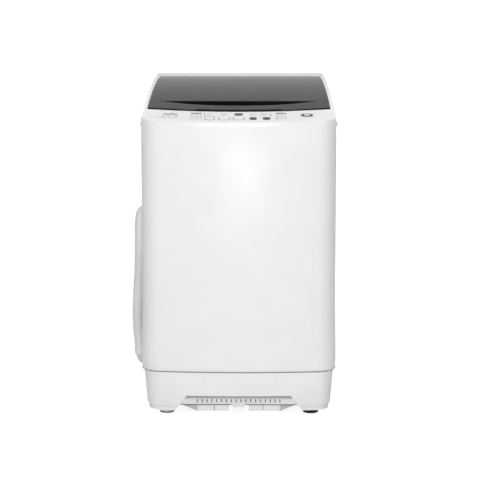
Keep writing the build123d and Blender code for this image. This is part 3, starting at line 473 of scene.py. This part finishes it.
# drain hose, hung over its holder
hose = {"diameter": 30.0, "ribPitch": 4.2, "ribDepth": 1.1, "around": 20, "cuffLength": 26.0, "cuffRibs": 5,
        "cuffRadius": 16.0, "cuffGroove": 15.3, "cuffPitch": 3.2}
hoseRoute = [
    (-0.296, 0.190, 0.084), (-0.296, 0.190, 0.158), (-0.299, 0.189, 0.236), (-0.294, 0.190, 0.312),
    (-0.289, 0.190, 0.386), (-0.289, 0.190, 0.4661), (-0.289, 0.1461, 0.510), (-0.289, 0.0839, 0.510),
    (-0.289, 0.040, 0.4661), (-0.289, 0.040, 0.386), (-0.294, 0.039, 0.306), (-0.298, 0.041, 0.234),
    (-0.297, 0.042, 0.182), (-0.292, 0.040, 0.131),
]


def splineLine(points, resolution=24):
    # points along the smooth NURBS line that the route's points control
    curve = bpy.data.curves.new("hoseLine", "CURVE")
    curve.dimensions = "3D"
    spline = curve.splines.new("NURBS")
    spline.points.add(len(points) - 1)
    for knot, place in zip(spline.points, points):
        knot.co = (*place, 1)
    spline.order_u = 3
    spline.use_endpoint_u = True
    spline.resolution_u = resolution
    carrier = bpy.data.objects.new("hoseLine", curve)
    bpy.context.scene.collection.objects.link(carrier)
    line = bpy.data.meshes.new_from_object(carrier)
    points = [v.co.copy() for v in line.vertices]
    bpy.data.objects.remove(carrier)
    bpy.data.meshes.remove(line)
    return points


def evenly(points, step):
    # the same line, walked in equal steps
    total = sum((b - a).length for a, b in zip(points, points[1:]))
    count = round(total / step)
    gap = left = total / count
    walked, here, i = [points[0]], points[0], 0
    while len(walked) < count and i < len(points) - 1:
        reach = (points[i + 1] - here).length
        if reach >= left:
            here = here.lerp(points[i + 1], left / reach)
            walked.append(here)
            left = gap
        else:
            left -= reach
            here = points[i + 1]
            i += 1
    return [*walked, points[-1]], total


hoseLine = splineLine(hoseRoute)
steps, hoseLength = evenly(hoseLine, hose["ribPitch"] * mm / 4)
tube = bmesh.new()
rings = []
radius = hose["diameter"] / 2
for i, point in enumerate(steps):
    ahead = steps[min(i + 1, len(steps) - 1)] - steps[max(i - 1, 0)]
    wave = (0.0, 0.0, hose["ribDepth"], hose["ribDepth"])[i % 4]
    placed = facing((ahead.x, ahead.y, ahead.z), point / mm)
    made = bmesh.ops.create_circle(tube, segments=hose["around"], radius=radius - wave, matrix=placed)
    rings.append(list({e for v in made["verts"] for e in v.link_edges}))
for first, second in zip(rings, rings[1:]):
    bmesh.ops.bridge_loops(tube, edges=first + second)
bmesh.ops.recalc_face_normals(tube, faces=tube.faces)
drainHose = addPiece("drainHose", tube, "cabinet", finishes["hose_grey"], 60, ["drain_hose"])

cuffStart, cuffAim = hoseLine[-1] / mm, (hoseLine[-1] - hoseLine[-3]).normalized()
cuffOut, cuffGroove, cuffTop = hose["cuffRadius"], hose["cuffGroove"], hose["cuffLength"]
cuffOutline = [(13.2, 0.0), (15.6, 0.0), (cuffOut, 0.6)]
for i in range(hose["cuffRibs"]):
    foot = 3.0 + i * hose["cuffPitch"]
    cuffOutline += [(cuffOut, foot), (cuffGroove, foot + 0.6), (cuffGroove, foot + 1.4), (cuffOut, foot + 2.0)]
cuffOutline += [(cuffOut, cuffTop - 1.5), (15.2, cuffTop), (13.4, cuffTop), (13.0, cuffTop - 1.0)]
cuff = turnedShape(cuffOutline, 40)
cuffPiece = addPiece("hoseCuff", moved(cuff, facing(cuffAim, cuffStart)), "cabinet", finishes["hose_grey"],
                     30, ["hose_cuff"])
holder = splitFaces(roundEdges(nodeShape("hose_guide"), 0.7))
band = {"levels": (404, 420), "legs": (40, 190), "half": 14.0, "high": 3.0, "left": -273.4, "right": -270.6}
for z in band["levels"]:
    for y in band["legs"]:
        holder = joinShapes([holder, boxShape((band["left"], y - band["half"], z),
                                              (band["right"], y + band["half"], z + band["high"]), 0.6)])
holderPiece = addPiece("hoseHolder", holder, "cabinet", finishes["holder_white"], 30,
                       ["hose_guide"])
print("drain hose:", round(hoseLength, 3), "m")

# lid: one arched sheet with a grip recess
lid = {"frontY": -183.0, "frontZ": 833.4, "backY": 215.0, "backZ": 905.8, "crown": 16.0, "frontHalf": 249.0,
       "backHalf": 230.6, "frontCorner": 6.0, "backCorner": 20.0, "frontRadius": 1783.0, "skin": 3.0, "rim": 16.0,
       "gripHalf": 212.0, "gripBack": -111.0, "gripReach": 32.0, "gripFlat": 2.4, "gripDepth": 12.0,
       "hingeRadius": 9.0, "edge": 1.4, "edgeShadeBand": 10.0}


def archZ(y, drop=0.0):
    # height of the lid's arch: one circle through its front edge, crown and back edge
    run, rise = (lid["backY"] - lid["frontY"]) / 2, (lid["backZ"] - lid["frontZ"]) / 2
    halfChord = math.hypot(run, rise)
    sagitta = lid["crown"] * run / halfChord
    arcRadius = (halfChord**2 + sagitta**2) / (2 * sagitta)
    below = arcRadius - sagitta
    centreY = (lid["frontY"] + lid["backY"]) / 2 + below * rise / halfChord
    centreZ = (lid["frontZ"] + lid["backZ"]) / 2 - below * run / halfChord
    return centreZ + math.sqrt(arcRadius**2 - (y - centreY) ** 2) - drop


hingeY = lid["backY"] - lid["hingeRadius"]
hingeZ = archZ(hingeY) - lid["hingeRadius"]


def lidFrontAt(x):
    return lid["frontY"] + lid["frontRadius"] - math.sqrt(lid["frontRadius"] ** 2 - x**2)


def gripFrontAt(x):
    aside = min(abs(x) / lid["gripHalf"], 1.0)
    return lid["gripBack"] - lid["gripReach"] * (1 - aside ** lid["gripFlat"])


def lidHalfAt(y, fromFront):
    # half width, with both corners rounded
    front = lidFrontAt(lid["frontHalf"])
    half = lid["frontHalf"] + (lid["backHalf"] - lid["frontHalf"]) * (y - front) / (lid["backY"] - front)
    for corner, near in ((lid["frontCorner"], fromFront), (lid["backCorner"], lid["backY"] - y)):
        if near < corner:
            half -= corner - math.sqrt(max(corner**2 - (corner - near) ** 2, 0))
    return half


def lidShape():
    across = [i / 20 for i in range(20)] + [1.0, 1.2, 1.45, 1.7, 1.9, 2.0]
    across = [-a for a in reversed(across[1:])] + across
    rows = [("front", t) for t in (0, 0.03, 0.08, 0.16, 0.3, 0.5, 0.7, 0.88)]
    rows += [("grip", t) for t in (0, 0.33, 0.67)] + [("top", i / 40) for i in range(40)]
    rows += [("roll", 90 - i * 15) for i in range(13)]
    shape = bmesh.new()
    bmesh.ops.create_grid(shape, x_segments=len(across) - 1, y_segments=len(rows) - 1, size=1)
    for vert in shape.verts:
        column = across[round((vert.co.x + 1) / 2 * (len(across) - 1))]
        zone, t = rows[round((vert.co.y + 1) / 2 * (len(rows) - 1))]
        x = lid["gripHalf"] * min(abs(column), 1.0)
        if zone == "front":
            low, high = lidFrontAt(x), gripFrontAt(x)
        elif zone == "grip":
            low, high = gripFrontAt(x), lid["gripBack"]
        elif zone == "top":
            low, high = lid["gripBack"], hingeY
        if zone == "roll":
            y = hingeY + lid["hingeRadius"] * math.cos(math.radians(t))
            z = hingeZ + lid["hingeRadius"] * math.sin(math.radians(t))
        else:
            y = low + (high - low) * t
            z = archZ(y)
        if abs(column) > 1:
            fromFront = y - lidFrontAt(x) if zone == "front" else 99
            x = lid["gripHalf"] + (lidHalfAt(y, fromFront) - lid["gripHalf"]) * (abs(column) - 1)
            if zone == "front":
                y = lidFrontAt(x) + (lid["gripBack"] - lidFrontAt(x)) * t
                z = archZ(y)
        vert.co = (math.copysign(x, column), y, z)
    recess = [f for f in shape.faces if abs(f.calc_center_median().x) < lid["gripHalf"]
              and gripFrontAt(f.calc_center_median().x) < f.calc_center_median().y < lid["gripBack"]
              and f.calc_area() > 0.5]
    lowered = bmesh.ops.extrude_face_region(shape, geom=recess)["geom"]
    bmesh.ops.translate(shape, vec=(0, 0, -lid["gripDepth"]), verts=vertsOf(lowered))
    bmesh.ops.delete(shape, geom=recess, context="FACES_ONLY")
    bmesh.ops.dissolve_degenerate(shape, dist=0.02, edges=shape.edges)
    bmesh.ops.remove_doubles(shape, verts=shape.verts, dist=0.02)
    rim = [e for e in shape.edges if e.is_boundary and max(v.co.y for v in e.verts) < hingeY + 0.01
           and not all(v.co.z < hingeZ for v in e.verts)]
    hung = bmesh.ops.extrude_edge_only(shape, edges=rim)["geom"]
    bmesh.ops.translate(shape, vec=(0, 0, -lid["rim"]), verts=vertsOf(hung))
    rollFoot = hingeZ - lid["hingeRadius"]
    last = [e for e in shape.edges if e.is_boundary and all(
        abs(v.co.z - rollFoot) < 0.01 and abs(v.co.y - hingeY) < 0.01 for v in e.verts)]
    lip = bmesh.ops.extrude_edge_only(shape, edges=last)["geom"]
    bmesh.ops.translate(shape, vec=(0, -14, 1.0), verts=vertsOf(lip))
    bmesh.ops.recalc_face_normals(shape, faces=shape.faces)
    roundEdges(shape, lid["edge"], 3, 40)
    bmesh.ops.recalc_face_normals(shape, faces=shape.faces)
    for face in shape.faces:
        middle = face.calc_center_median()
        # faces sunk into the grip recess get a near-black finish with almost no reflection: painted shade of the
        # undercut
        sunk = middle.z < archZ(middle.y) - 0.2 and middle.y > -160
        inShadedRecess = sunk and abs(middle.x) < lid["gripHalf"] and \
            gripFrontAt(middle.x) - 0.8 < middle.y < lid["gripBack"] + 0.8
        # faces near the front edge get a near-black, barely reflecting finish: a painted dark line of shade along
        # the edge
        onShadedEdge = middle.y < lidFrontAt(middle.x) + lid["edgeShadeBand"]
        face.material_index = 1 if inShadedRecess else 2 if onShadedEdge else 0
    return shape


shape = lidShape()
# painted shade: the grip recess is near-black with almost no reflection
gripShadeBlack = finishOf("gripShadeBlackFinish", (0.0025, 0.0028, 0.0035), (0.004, 0.0045, 0.0055), gloss=0.5, scale=300,
                     bump=0.01, dust=0.0, specular=0.03)
# painted shade: a near-black band along the lid's front edge
edgeShadeBlack = finishOf("lidEdgeFinish", (0.006, 0.0058, 0.0056), gloss=0.5, scale=300, bump=0.01, dust=0.0,
                     specular=0.04)
lidPiece = addPiece("lidPanel", shape, "lid", [finishes["dark_lid"], gripShadeBlack, edgeShadeBlack], 30,
                    ["lid_panel"])
wall = lidPiece.modifiers.new("skin", "SOLIDIFY")
wall.thickness = (lid["skin"] - 0.4) * mm
wall.offset = -1


def archBar(x0, x1, y0, y1, top, bottom):
    # a bar that follows the underside of the arch
    shape = boxShape((x0, y0, 0), (x1, y1, 1))
    for i in range(1, 12):
        cutShape(shape, (0, y0 + (y1 - y0) * i / 12, 0), (0, 1, 0))
    for vert in shape.verts:
        vert.co.z = archZ(vert.co.y, top if vert.co.z > 0.5 else bottom)
    return shape


rib = {"half": 0.9, "long": (-150, -50, 50, 150), "from": -95.0, "to": 190.0, "longFoot": 9.0,
       "cross": (-30, 60, 150), "reach": 228.0, "crossFoot": 7.0, "top": lid["skin"] - 0.2}
ribs = [archBar(x - rib["half"], x + rib["half"], rib["from"], rib["to"], rib["top"], rib["longFoot"])
        for x in rib["long"]]
ribs += [archBar(-rib["reach"], rib["reach"], y - rib["half"], y + rib["half"], rib["top"], rib["crossFoot"])
         for y in rib["cross"]]
addPiece("lidRibs", joinShapes(ribs), "lid", finishes["dark_lid"])
print("lid made")

# top cover: its sides swell a little before they lean in
cover = {"edge": 4.0, "segments": 4, "swell": 5.5, "swellFrom": 790.0, "swellTo": 925.0,
         "cuts": (800, 815, 830, 845, 860, 872, 884, 894, 903),
         "cornerX": 218.0, "cornerY": 201.0, "corner": 15.4, "square": 15.6}


def cutAcross(shape, heights):
    for z in heights:
        cutShape(shape, (0, 0, z), (0, 0, 1))
    return shape


def outerTopEdge(edge):
    # the long edges where the leaning sides meet the top
    return all(abs(v.co.x) > 238 and v.co.z > 812 for v in edge.verts) and edge.calc_length() > 0.2


coverShape = nodeShape("top_cover")
roundEdges(coverShape, cover["edge"], cover["segments"], 30, outerTopEdge)
cutAcross(coverShape, cover["cuts"])
for vert in coverShape.verts:
    up = (vert.co.z - cover["swellFrom"]) / (cover["swellTo"] - cover["swellFrom"])
    if 0 < up < 1 and abs(vert.co.x) > 240:
        outside = min(max((abs(vert.co.x) - lidHalfAt(max(vert.co.y, -180), 99) - 3) / 7, 0), 1)
        vert.co.x += math.copysign(cover["swell"] * math.sin(math.pi * up) * outside, vert.co.x)
for vert in coverShape.verts:
    # the recess's rear corners are square, so that the lid's sides clear them as it opens
    right, behind = abs(vert.co.x) - cover["cornerX"], vert.co.y - cover["cornerY"]
    onCorner = abs(math.hypot(right, behind) - cover["corner"]) < 1
    if right > 0.3 and behind > 0.3 and vert.co.z > 860 and onCorner:
        grow = cover["square"] / max(right, behind)
        vert.co.x = math.copysign(cover["cornerX"] + right * grow, vert.co.x)
        vert.co.y = cover["cornerY"] + behind * grow
addPiece("topCover", splitFaces(coverShape), "cabinet", finishes["white_plastic"], 30,
         ["top_cover"])
print("top cover made")

# control panel: printed marks lie on the film and follow its slope
panel = {"foot": 808.9, "rise": 24.5 / 87, "frontY": -270.0, "film": 0.2, "ink": 0.06, "keyProud": 1.0,
         "outlined": {"power": (-77.7, 24.0), "water": (-38.0, 30.0), "mode": (0.3, 29.0)},
         "keyY": -234.0, "keyLong": 18.0, "outlineGap": 1.9, "outlineWide": 1.8,
         "lists": {"left": (-129, -101), "right": (101, 128)}}
inks = {
    "inkGrey": finishOf("inkGreyFinish", (0.17, 0.17, 0.18), gloss=0.4, scale=600, bump=0.004),
    "inkDark": finishOf("inkDarkFinish", (0.075, 0.075, 0.08), gloss=0.4, scale=600, bump=0.004),
    "inkPale": finishOf("inkPaleFinish", (0.48, 0.485, 0.495), gloss=0.4, scale=600, bump=0.004),
    "inkWhite": finishOf("inkWhiteFinish", (0.72, 0.73, 0.74), gloss=0.4, scale=600, bump=0.004),
    "digitRed": finishOf("digitRedFinish", (0.30, 0.10, 0.10), gloss=0.25, scale=600, bump=0.004),
}


def onPanel(shape, lift=0.0):
    for vert in shape.verts:
        vert.co.z += panel["foot"] + (vert.co.y - panel["frontY"]) * panel["rise"] + panel["film"] + lift
    return shape


def inkBar(x0, x1, y0, y1, lift=0.0):
    return onPanel(boxShape((x0, y0, -0.15), (x1, y1, panel["ink"])), lift)


def inkRing(x, y, wide, long, line, corner=0.42, lift=0.0, filled=False):
    shape = bmesh.new()
    bmesh.ops.create_grid(shape, x_segments=1, y_segments=1, size=0.5,
                          matrix=Matrix.Translation((x, y, 0)) @ Matrix.Diagonal((wide, long, 1, 1)))
    bmesh.ops.bevel(shape, geom=shape.verts[:], offset=min(wide, long) * corner, segments=6, profile=0.5,
                    affect="VERTICES", material=-1)
    if not filled:
        whole = shape.faces[:]
        bmesh.ops.inset_region(shape, faces=whole, thickness=line, use_boundary=True, use_even_offset=True)
        bmesh.ops.delete(shape, geom=whole, context="FACES_ONLY")
    raised = bmesh.ops.extrude_face_region(shape, geom=shape.faces[:])["geom"]
    bmesh.ops.translate(shape, vec=(0, 0, panel["ink"]), verts=vertsOf(raised))
    bmesh.ops.recalc_face_normals(shape, faces=shape.faces)
    return onPanel(shape, lift)


def inkPiece(name, ink, shapes, body="cabinet"):
    return addPiece(name, joinShapes(shapes), body, inks[ink], 30)


def listLines(x0, x1, y0, y1, rows):
    # a printed list as rows of short bars, with no lettering
    gap = (y0 - y1) / rows
    made = []
    for row in range(rows):
        y = y0 - gap * (row + 0.5)
        reach = x0 + (x1 - x0) * (0.55 + 0.4 * ((row * 7 + round(x0)) % 5) / 4)
        made.append(inkBar(x0, reach, y - gap * 0.18, y + gap * 0.18))
    return made


for side, (x0, x1) in panel["lists"].items():
    centre = (x0 + x1) / 2
    inkPiece(side + "ListHead", "inkDark", [inkBar(x0, x1, -198.5, -192)])
    inkPiece(side + "ListFrame", "inkGrey", [inkBar(x0, x0 + 1.1, -240, -198), inkBar(x1 - 1.1, x1, -240, -198),
                                             inkBar(centre - 0.4, centre + 0.4, -238, -200)])
    inkPiece(side + "ListRows", "inkPale", listLines(x0 + 3, centre - 2, -200, -240, 6)
             + listLines(centre + 2, x1 - 3, -200, -240, 6))
waves = [inkRing(-198 + i * 9.5, -203 + rise, 8.5, 13, 2.6, 0.45) for i, rise in enumerate((3, -2, 3, -3))]
inkPiece("makerWave", "inkGrey", waves + [inkBar(-207, -201, -212, -208), inkBar(-172, -166, -211, -207)])
inkPiece("makerUnderline", "inkPale", [inkBar(-217 + i * 7, -212 + i * 7, -227, -221) for i in range(8)])
inkPiece("panelBrackets", "inkGrey", [inkBar(-93.2, -91.6, -218, -192), inkBar(85.4, 87.0, -218, -192),
                                      inkBar(-92, -64, -219, -217.6)])
inkPiece("panelHints", "inkPale", [bar for x0, x1 in ((-87, -69), (-48, -29), (29, 52), (57, 82))
                                   for bar in listLines(x0, x1, -194, -216, 3)])
keyY, gap = panel["keyY"], 2 * panel["outlineGap"]
for name, (x, wide) in panel["outlined"].items():
    outlined = inkRing(x, keyY, wide + gap, panel["keyLong"] + gap, panel["outlineWide"])
    inkPiece(name + "KeyOutline", "inkGrey", [outlined])


def markBar(x0, x1, down, up):
    return inkBar(x0, x1, keyY + down, keyY + up, panel["keyProud"])


def markRing(x, wide, long, filled):
    return inkRing(x, keyY, wide, long, 1.0, 0.49, panel["keyProud"], filled)


keyMarks = {
    "power": ("light_key", "inkGrey", [markRing(-77.7, 8, 9, False), markBar(-78.2, -77.2, 0.5, 6)]),
    "water": ("light_key", "inkGrey", [markBar(-44 + i * 4, -42 + i * 4, -4, i * 2 - 1) for i in range(4)]),
    "mode": ("light_key", "inkGrey", [markRing(-5 + i * 5, 3, 4, True) for i in range(3)]),
    "drain": ("dark_key", "inkWhite", [markBar(33 + i * 4, 35.6 + i * 4, i % 2 - 2, i % 2 + 2) for i in range(4)]),
    "start": ("dark_key", "inkWhite", [markBar(69, 70.8, -3, 3), markBar(72.4, 74.2, -3, 3),
                                       markRing(79, 5, 6, True)]),
}
for name, (slot, ink, shapes) in keyMarks.items():
    inkPiece(name + "KeyMark", ink, shapes, name + "_key")
digit = {"centres": (-7.0, 0.0, 7.0), "levels": (-211.2, -204.7, -198.2), "uprights": (-207.95, -201.45),
         "half": 1.7, "aside": 2.3, "lift": 0.55}
digits = []
for x in digit["centres"]:
    for y in digit["levels"]:
        digits.append(inkBar(x - digit["half"], x + digit["half"], y - 0.5, y + 0.5, digit["lift"]))
    for y in digit["uprights"]:
        for edge in (x - digit["aside"], x + digit["aside"]):
            low, high = y - digit["aside"], y + digit["aside"]
            digits.append(inkBar(edge - 0.4, edge + 0.4, low, high, digit["lift"]))
inkPiece("displayDigits", "digitRed", digits)
print("control panel printed")

# badge: a dark oval rim with a plain light bar inside it
badge = {"x": 184.0, "y": -211.0, "wide": 33.0, "long": 20.0, "rim": 3.0, "lift": 1.2}
badgeRim = inkRing(badge["x"], badge["y"], badge["wide"], badge["long"], badge["rim"], 0.49, badge["lift"])
inkPiece("badgeRim", "inkDark", [badgeRim])
badgeBar = inkRing(badge["x"], badge["y"] + 0.5, 15, 9, 1, 0.3, badge["lift"], True)
inkPiece("badgeBar", "inkWhite", [badgeBar])

# steel cabinet: straight sheet, a low bead at its foot, then a tuck to the seam
shell = {"push": ((126, -3.2), (128, -2.0), (131, -0.6), (135, 0.9), (141, 2.2), (150, 3.0), (170, 3.2),
                  (200, 2.6), (250, 1.6), (320, 0.6), (390, 0.0)),
         "cornerFrom": 205.0, "cornerWide": 55.0, "frontWide": 40.0, "seamTo": 128.2}


def between(table, at):
    for (low, first), (high, second) in zip(table, table[1:]):
        if at <= high:
            return first + (second - first) * max(at - low, 0) / (high - low)
    return table[-1][1]


shellShape = cutAcross(nodeShape("cabinet_shell"), [z for z, push in shell["push"][1:]])
for vert in shellShape.verts:
    push = between(shell["push"], vert.co.z)
    aside = min(max((abs(vert.co.x) - shell["cornerFrom"]) / shell["cornerWide"], 0), 1)
    ahead = min(max((-vert.co.y - shell["cornerFrom"]) / shell["frontWide"], 0), 1)
    vert.co.x += math.copysign(push * aside, vert.co.x)
    if push < 0:
        vert.co.y -= push * ahead
# faces below the seam line take a mid grey: painted shadow in the gap between cabinet and base
for face in splitFaces(shellShape).faces:
    face.material_index = int(face.calc_center_median().z < shell["seamTo"])
seamShadowGrey = finishOf("cabinetSeamShadowFinish", (0.38, 0.383, 0.387), gloss=0.5, scale=600, bump=0.02)
addPiece("cabinetShell", shellShape, "cabinet", [finishes["enamel"], seamShadowGrey], 32, ["cabinet_shell"])

# base: rounded rims, a low lip, the recess face painted darker as painted shade, and the rim under the seam
# painted dark as painted shadow
base = {"rim": 3.0, "ledge": 40.0, "ledgeOut": 30.0, "ledgeIn": 25.0, "recessHalf": 176.0, "recessTop": 58.5,
        "recessFrom": -249.5, "recessFoot": 30.5, "faceHalf": 160.0, "slant": 32 / 43.5, "seamFrom": 123.4,
        "cornerX": 207.0, "cornerY": -201.0, "corner": 58.0}


def insetAt(x, y):
    # how far a point of the plan lies in from the cabinet's outline
    if abs(x) > base["cornerX"] and y < base["cornerY"]:
        return base["corner"] - math.hypot(abs(x) - base["cornerX"], y - base["cornerY"])
    return min(265 - abs(x), y + 270 - x**2 / 3740)


def topShade(tree, vector):
    # painted shade: the recess face is painted darker under its upper edge
    return span(tree, axes(tree, vector)["Z"], 0.0435, 0.0515), noise(tree, vector, 300.0, 2.0)


baseShape = nodeShape("base_skirt")
roundEdges(baseShape, base["rim"], 3, 40, lambda e: all(v.co.z > 125 for v in e.verts)
           and all(abs(v.co.x) > 225 or v.co.y < -225 for v in e.verts))
for vert in baseShape.verts:
    inset = insetAt(vert.co.x, vert.co.y)
    if abs(vert.co.z - base["ledge"]) < 0.3 and 9 < inset < 18:
        drop = base["ledge"] - (base["ledgeOut"] if inset < 13.5 else base["ledgeIn"])
        vert.co.z -= drop
        if abs(vert.co.x) < base["recessHalf"]:
            vert.co.x += math.copysign(drop * base["slant"], vert.co.x)
# cheeks carry the recess's slanted sides down to the floor of the base
cheek = {"near": 162.5, "far": 176.0, "front": -247.6, "back": -243.4, "foot": 14.2, "head": 31.0,
         "cutAt": 163.2}
cheeks = []
for side in (-1, 1):
    x0, x1 = mirrored(side, cheek["near"], cheek["far"])
    block = boxShape((x0, cheek["front"], cheek["foot"]), (x1, cheek["back"], cheek["head"]))
    cutShape(block, (side * cheek["cutAt"], 0, base["recessFoot"]), (-side, 0, -base["slant"]), True)
    bmesh.ops.holes_fill(block, edges=[e for e in block.edges if e.is_boundary], sides=8)
    cheeks.append(block)
baseShape = joinShapes([splitFaces(baseShape), *cheeks])
for face in baseShape.faces:
    middle = face.calc_center_median()
    inShadedRecess = abs(middle.x) < base["faceHalf"] and middle.z < base["recessTop"] \
        and base["recessFrom"] < middle.y < -240
    inSeam = middle.z > base["seamFrom"] and insetAt(middle.x, middle.y) < 9
    face.material_index = 1 if inShadedRecess else 2 if inSeam else 0
# painted shade: the recess face is a darker white, darkest under its upper edge, and the seam rim is dark grey as
# painted shadow
recessShadedWhite = finishOf("recessShadeFinish", (0.76, 0.765, 0.77), (0.36, 0.363, 0.37), gloss=0.42, scale=900,
                       bump=0.02, dust=0.05, grime=0.1, pattern=topShade)
seamShade = finishOf("seamShadeFinish", (0.26, 0.262, 0.265), gloss=0.6, scale=600, bump=0.02)
addPiece("baseSkirt", baseShape, "cabinet", [finishes["white_plastic"], recessShadedWhite, seamShade],
         30, ["base_skirt"])
# a thin dark strip where the guard meets the recess face: painted shadow
guardShadowGrey = finishOf("guardShadowLineFinish", (0.16, 0.162, 0.165), gloss=0.6, scale=600, bump=0.02)
line = {"near": 16.6, "far": 161.0, "front": -246.7, "back": -245.4, "low": 29.3, "high": 31.2}
lineShapes = []
for side in (-1, 1):
    x0, x1 = mirrored(side, line["near"], line["far"])
    lineShapes.append(boxShape((x0, line["front"], line["low"]), (x1, line["back"], line["high"])))
addPiece("guardShadowLine", joinShapes(lineShapes), "cabinet", guardShadowGrey, 30)
# a dark plate behind the vents stands for the shade inside them: painted shade
ventShadeDark = finishOf("ventShadeFinish", (0.15, 0.15, 0.155), gloss=0.7, scale=400, bump=0.03, dust=0.3)
vent = boxShape((-134, -242.4, 35), (134, -241.6, 47), 0.3)
addPiece("ventShade", vent, "cabinet", ventShadeDark, 30)

# guard under the recess: a plate, open at its middle, with two folded lips and slanted wings
guard = {"y": -242.0, "low": 11.0, "high": 29.5, "inner": 28.0, "outer": 114.0, "wing": 46.0, "back": -132.0,
         "split": 67.0, "gap": 0.6, "sheet": 2.0, "bridge": 28.5, "bridgeFrom": -140.0, "wingBack": 16.0,
         "wingLift": 15.0}
low, front, sheet, wide = guard["low"], guard["y"], guard["sheet"], guard["wing"]
bridge = boxShape((-guard["bridge"], guard["bridgeFrom"], low),
                  (guard["bridge"], guard["back"], low + sheet), 0.4)
guardShapes, wingShapes = [bridge], []
for side in (-1, 1):
    x0, x1 = mirrored(side, guard["inner"], guard["outer"])
    guardShapes.append(boxShape((x0, front, low), (x1, guard["back"], low + sheet), 0.4))
    for near, far in ((guard["inner"], guard["split"] - guard["gap"]),
                      (guard["split"] + guard["gap"], guard["outer"])):
        x0, x1 = mirrored(side, near, far)
        guardShapes.append(boxShape((x0, front - 0.2, low), (x1, front + sheet, guard["high"]), 0.7))
    x0, x1 = mirrored(side, guard["outer"], guard["outer"] + wide)
    wing = boxShape((x0, front, low), (x1, front + sheet, guard["high"]))
    for vert in wing.verts:
        away = (abs(vert.co.x) - guard["outer"]) / wide
        vert.co.y += guard["wingBack"] * away
        if vert.co.z < low + 1:
            vert.co.z += guard["wingLift"] * away
    wingShapes.append(wing)
addPiece("bottomGuard", joinShapes(guardShapes), "cabinet", finishes["white_plastic"], 30,
         ["bottom_guard"])
# painted shade: the slanted wings take a grey copy of the white plastic, for faces turned away from the light
wingShadeGrey = finishOf("guardWingShadeFinish", (0.56, 0.565, 0.57), gloss=0.5, scale=500, bump=0.03)
addPiece("guardWings", joinShapes(wingShapes), "cabinet", wingShadeGrey, 30)
print("cabinet, base and guard made")

# suspension springs and the valve's bellows stretch between the cabinet and the tub
spring = {"radius": 17.0, "wire": 4.0, "turns": 7, "foot": 214.0, "head": 315.0, "x": 212.0, "y": 206.0,
          "perTurn": 22}
coils = []
for x in (-spring["x"], spring["x"]):
    for y in (-spring["y"], spring["y"]):
        coil = bmesh.new()
        start = Matrix.Translation((spring["radius"], 0, spring["foot"])) @ Matrix.Rotation(math.pi / 2, 4, "X")
        bmesh.ops.create_circle(coil, cap_ends=False, segments=10, radius=spring["wire"] / 2, matrix=start)
        count = spring["turns"] * spring["perTurn"]
        bmesh.ops.spin(coil, geom=coil.verts[:] + coil.edges[:], axis=(0, 0, 1), cent=(0, 0, 0),
                       angle=2 * math.pi * spring["turns"], steps=count, use_duplicate=False,
                       dvec=(0, 0, (spring["head"] - spring["foot"]) / count))
        bmesh.ops.holes_fill(coil, edges=[e for e in coil.edges if e.is_boundary], sides=12)
        bmesh.ops.recalc_face_normals(coil, faces=coil.faces)
        coils.append(moved(coil, Matrix.Translation((x, y, 0))))
springsPiece = addPiece("suspensionSprings", joinShapes(coils), None, finishes["zinc_steel"], 60,
                        ["suspension_springs"])
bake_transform(springsPiece)

bellows = {"inner": 16.2, "outer": 19.8, "foot": 150.0, "head": 201.0, "folds": 7, "x": -130.0, "y": 90.0}
outline = []
inner, outer, head = bellows["inner"], bellows["outer"], bellows["head"]
fold = (head - bellows["foot"]) / bellows["folds"]
for i in range(bellows["folds"]):
    z = bellows["foot"] + i * fold
    outline += [(inner + 0.6, z), (outer, z + fold * 0.35), (outer, z + fold * 0.6)]
outline += [(inner + 0.6, head), (inner - 0.2, head), (inner - 0.2, bellows["foot"])]
bellowsShape = moved(turnedShape(outline, 40), Matrix.Translation((bellows["x"], bellows["y"], 0)))
bellowsPiece = addPiece("drainBellows", bellowsShape, None, finishes["rubber_black"], 40,
                        ["drain_bellows"])
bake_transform(bellowsPiece)
print("springs and bellows made")

# drum wall: staggered round holes and fine upright brushing
drum = {"around": 82, "pitch": 0.0162, "hole": 0.17, "low": 0.335, "high": 0.664, "radius": 0.205}
drumFinish = finishOf("drumFinish", (0.60, 0.60, 0.59), (0.52, 0.52, 0.51), gloss=0.24, uneven=0.08, metal=1.0,
                      bump=0.015, pattern=brushedUp, dust=0.0)
tree = drumFinish.node_tree
place = axes(tree, tree.nodes.new("ShaderNodeTexCoord").outputs["Object"])
turn = sums(tree, "MULTIPLY", sums(tree, "ARCTAN2", place["Y"], place["X"]), drum["around"] / (2 * math.pi))
level = sums(tree, "DIVIDE", place["Z"], drum["pitch"])
shift = sums(tree, "MULTIPLY", sums(tree, "FLOORED_MODULO", sums(tree, "FLOOR", level), 2.0), 0.5)
acrossCell = sums(tree, "SUBTRACT", sums(tree, "FRACT", sums(tree, "ADD", turn, shift)), 0.5)
upCell = sums(tree, "SUBTRACT", sums(tree, "FRACT", level), 0.5)


def distance(first, second):
    squares = [sums(tree, "MULTIPLY", value, value) for value in (first, second)]
    return sums(tree, "SQRT", sums(tree, "ADD", *squares))


inHole = sums(tree, "LESS_THAN", distance(acrossCell, upCell), drum["hole"])
onWall = sums(tree, "MULTIPLY", sums(tree, "GREATER_THAN", distance(place["X"], place["Y"]), drum["radius"]),
              sums(tree, "MULTIPLY", sums(tree, "GREATER_THAN", place["Z"], drum["low"]),
                   sums(tree, "LESS_THAN", place["Z"], drum["high"])))
solid = sums(tree, "SUBTRACT", 1.0, sums(tree, "MULTIPLY", inHole, onWall))
tree.links.new(solid, tree.nodes["Principled BSDF"].inputs["Alpha"])
nodes["spin_basket"].data.materials[0] = drumFinish
print("drum finished")


def rimOnly(tree, vector):
    # black rubber rim below, pale foot above
    return span(tree, axes(tree, vector)["Z"], 0.0036, 0.0040), noise(tree, vector, 300.0, 2.0)


nodes["foot_pads"].data.materials[0] = finishOf(
    "footRimFinish", (0.012, 0.012, 0.013), (0.80, 0.805, 0.81), gloss=0.5, scale=600, bump=0.03, dust=0.0,
    pattern=rimOnly, specular=0.4)
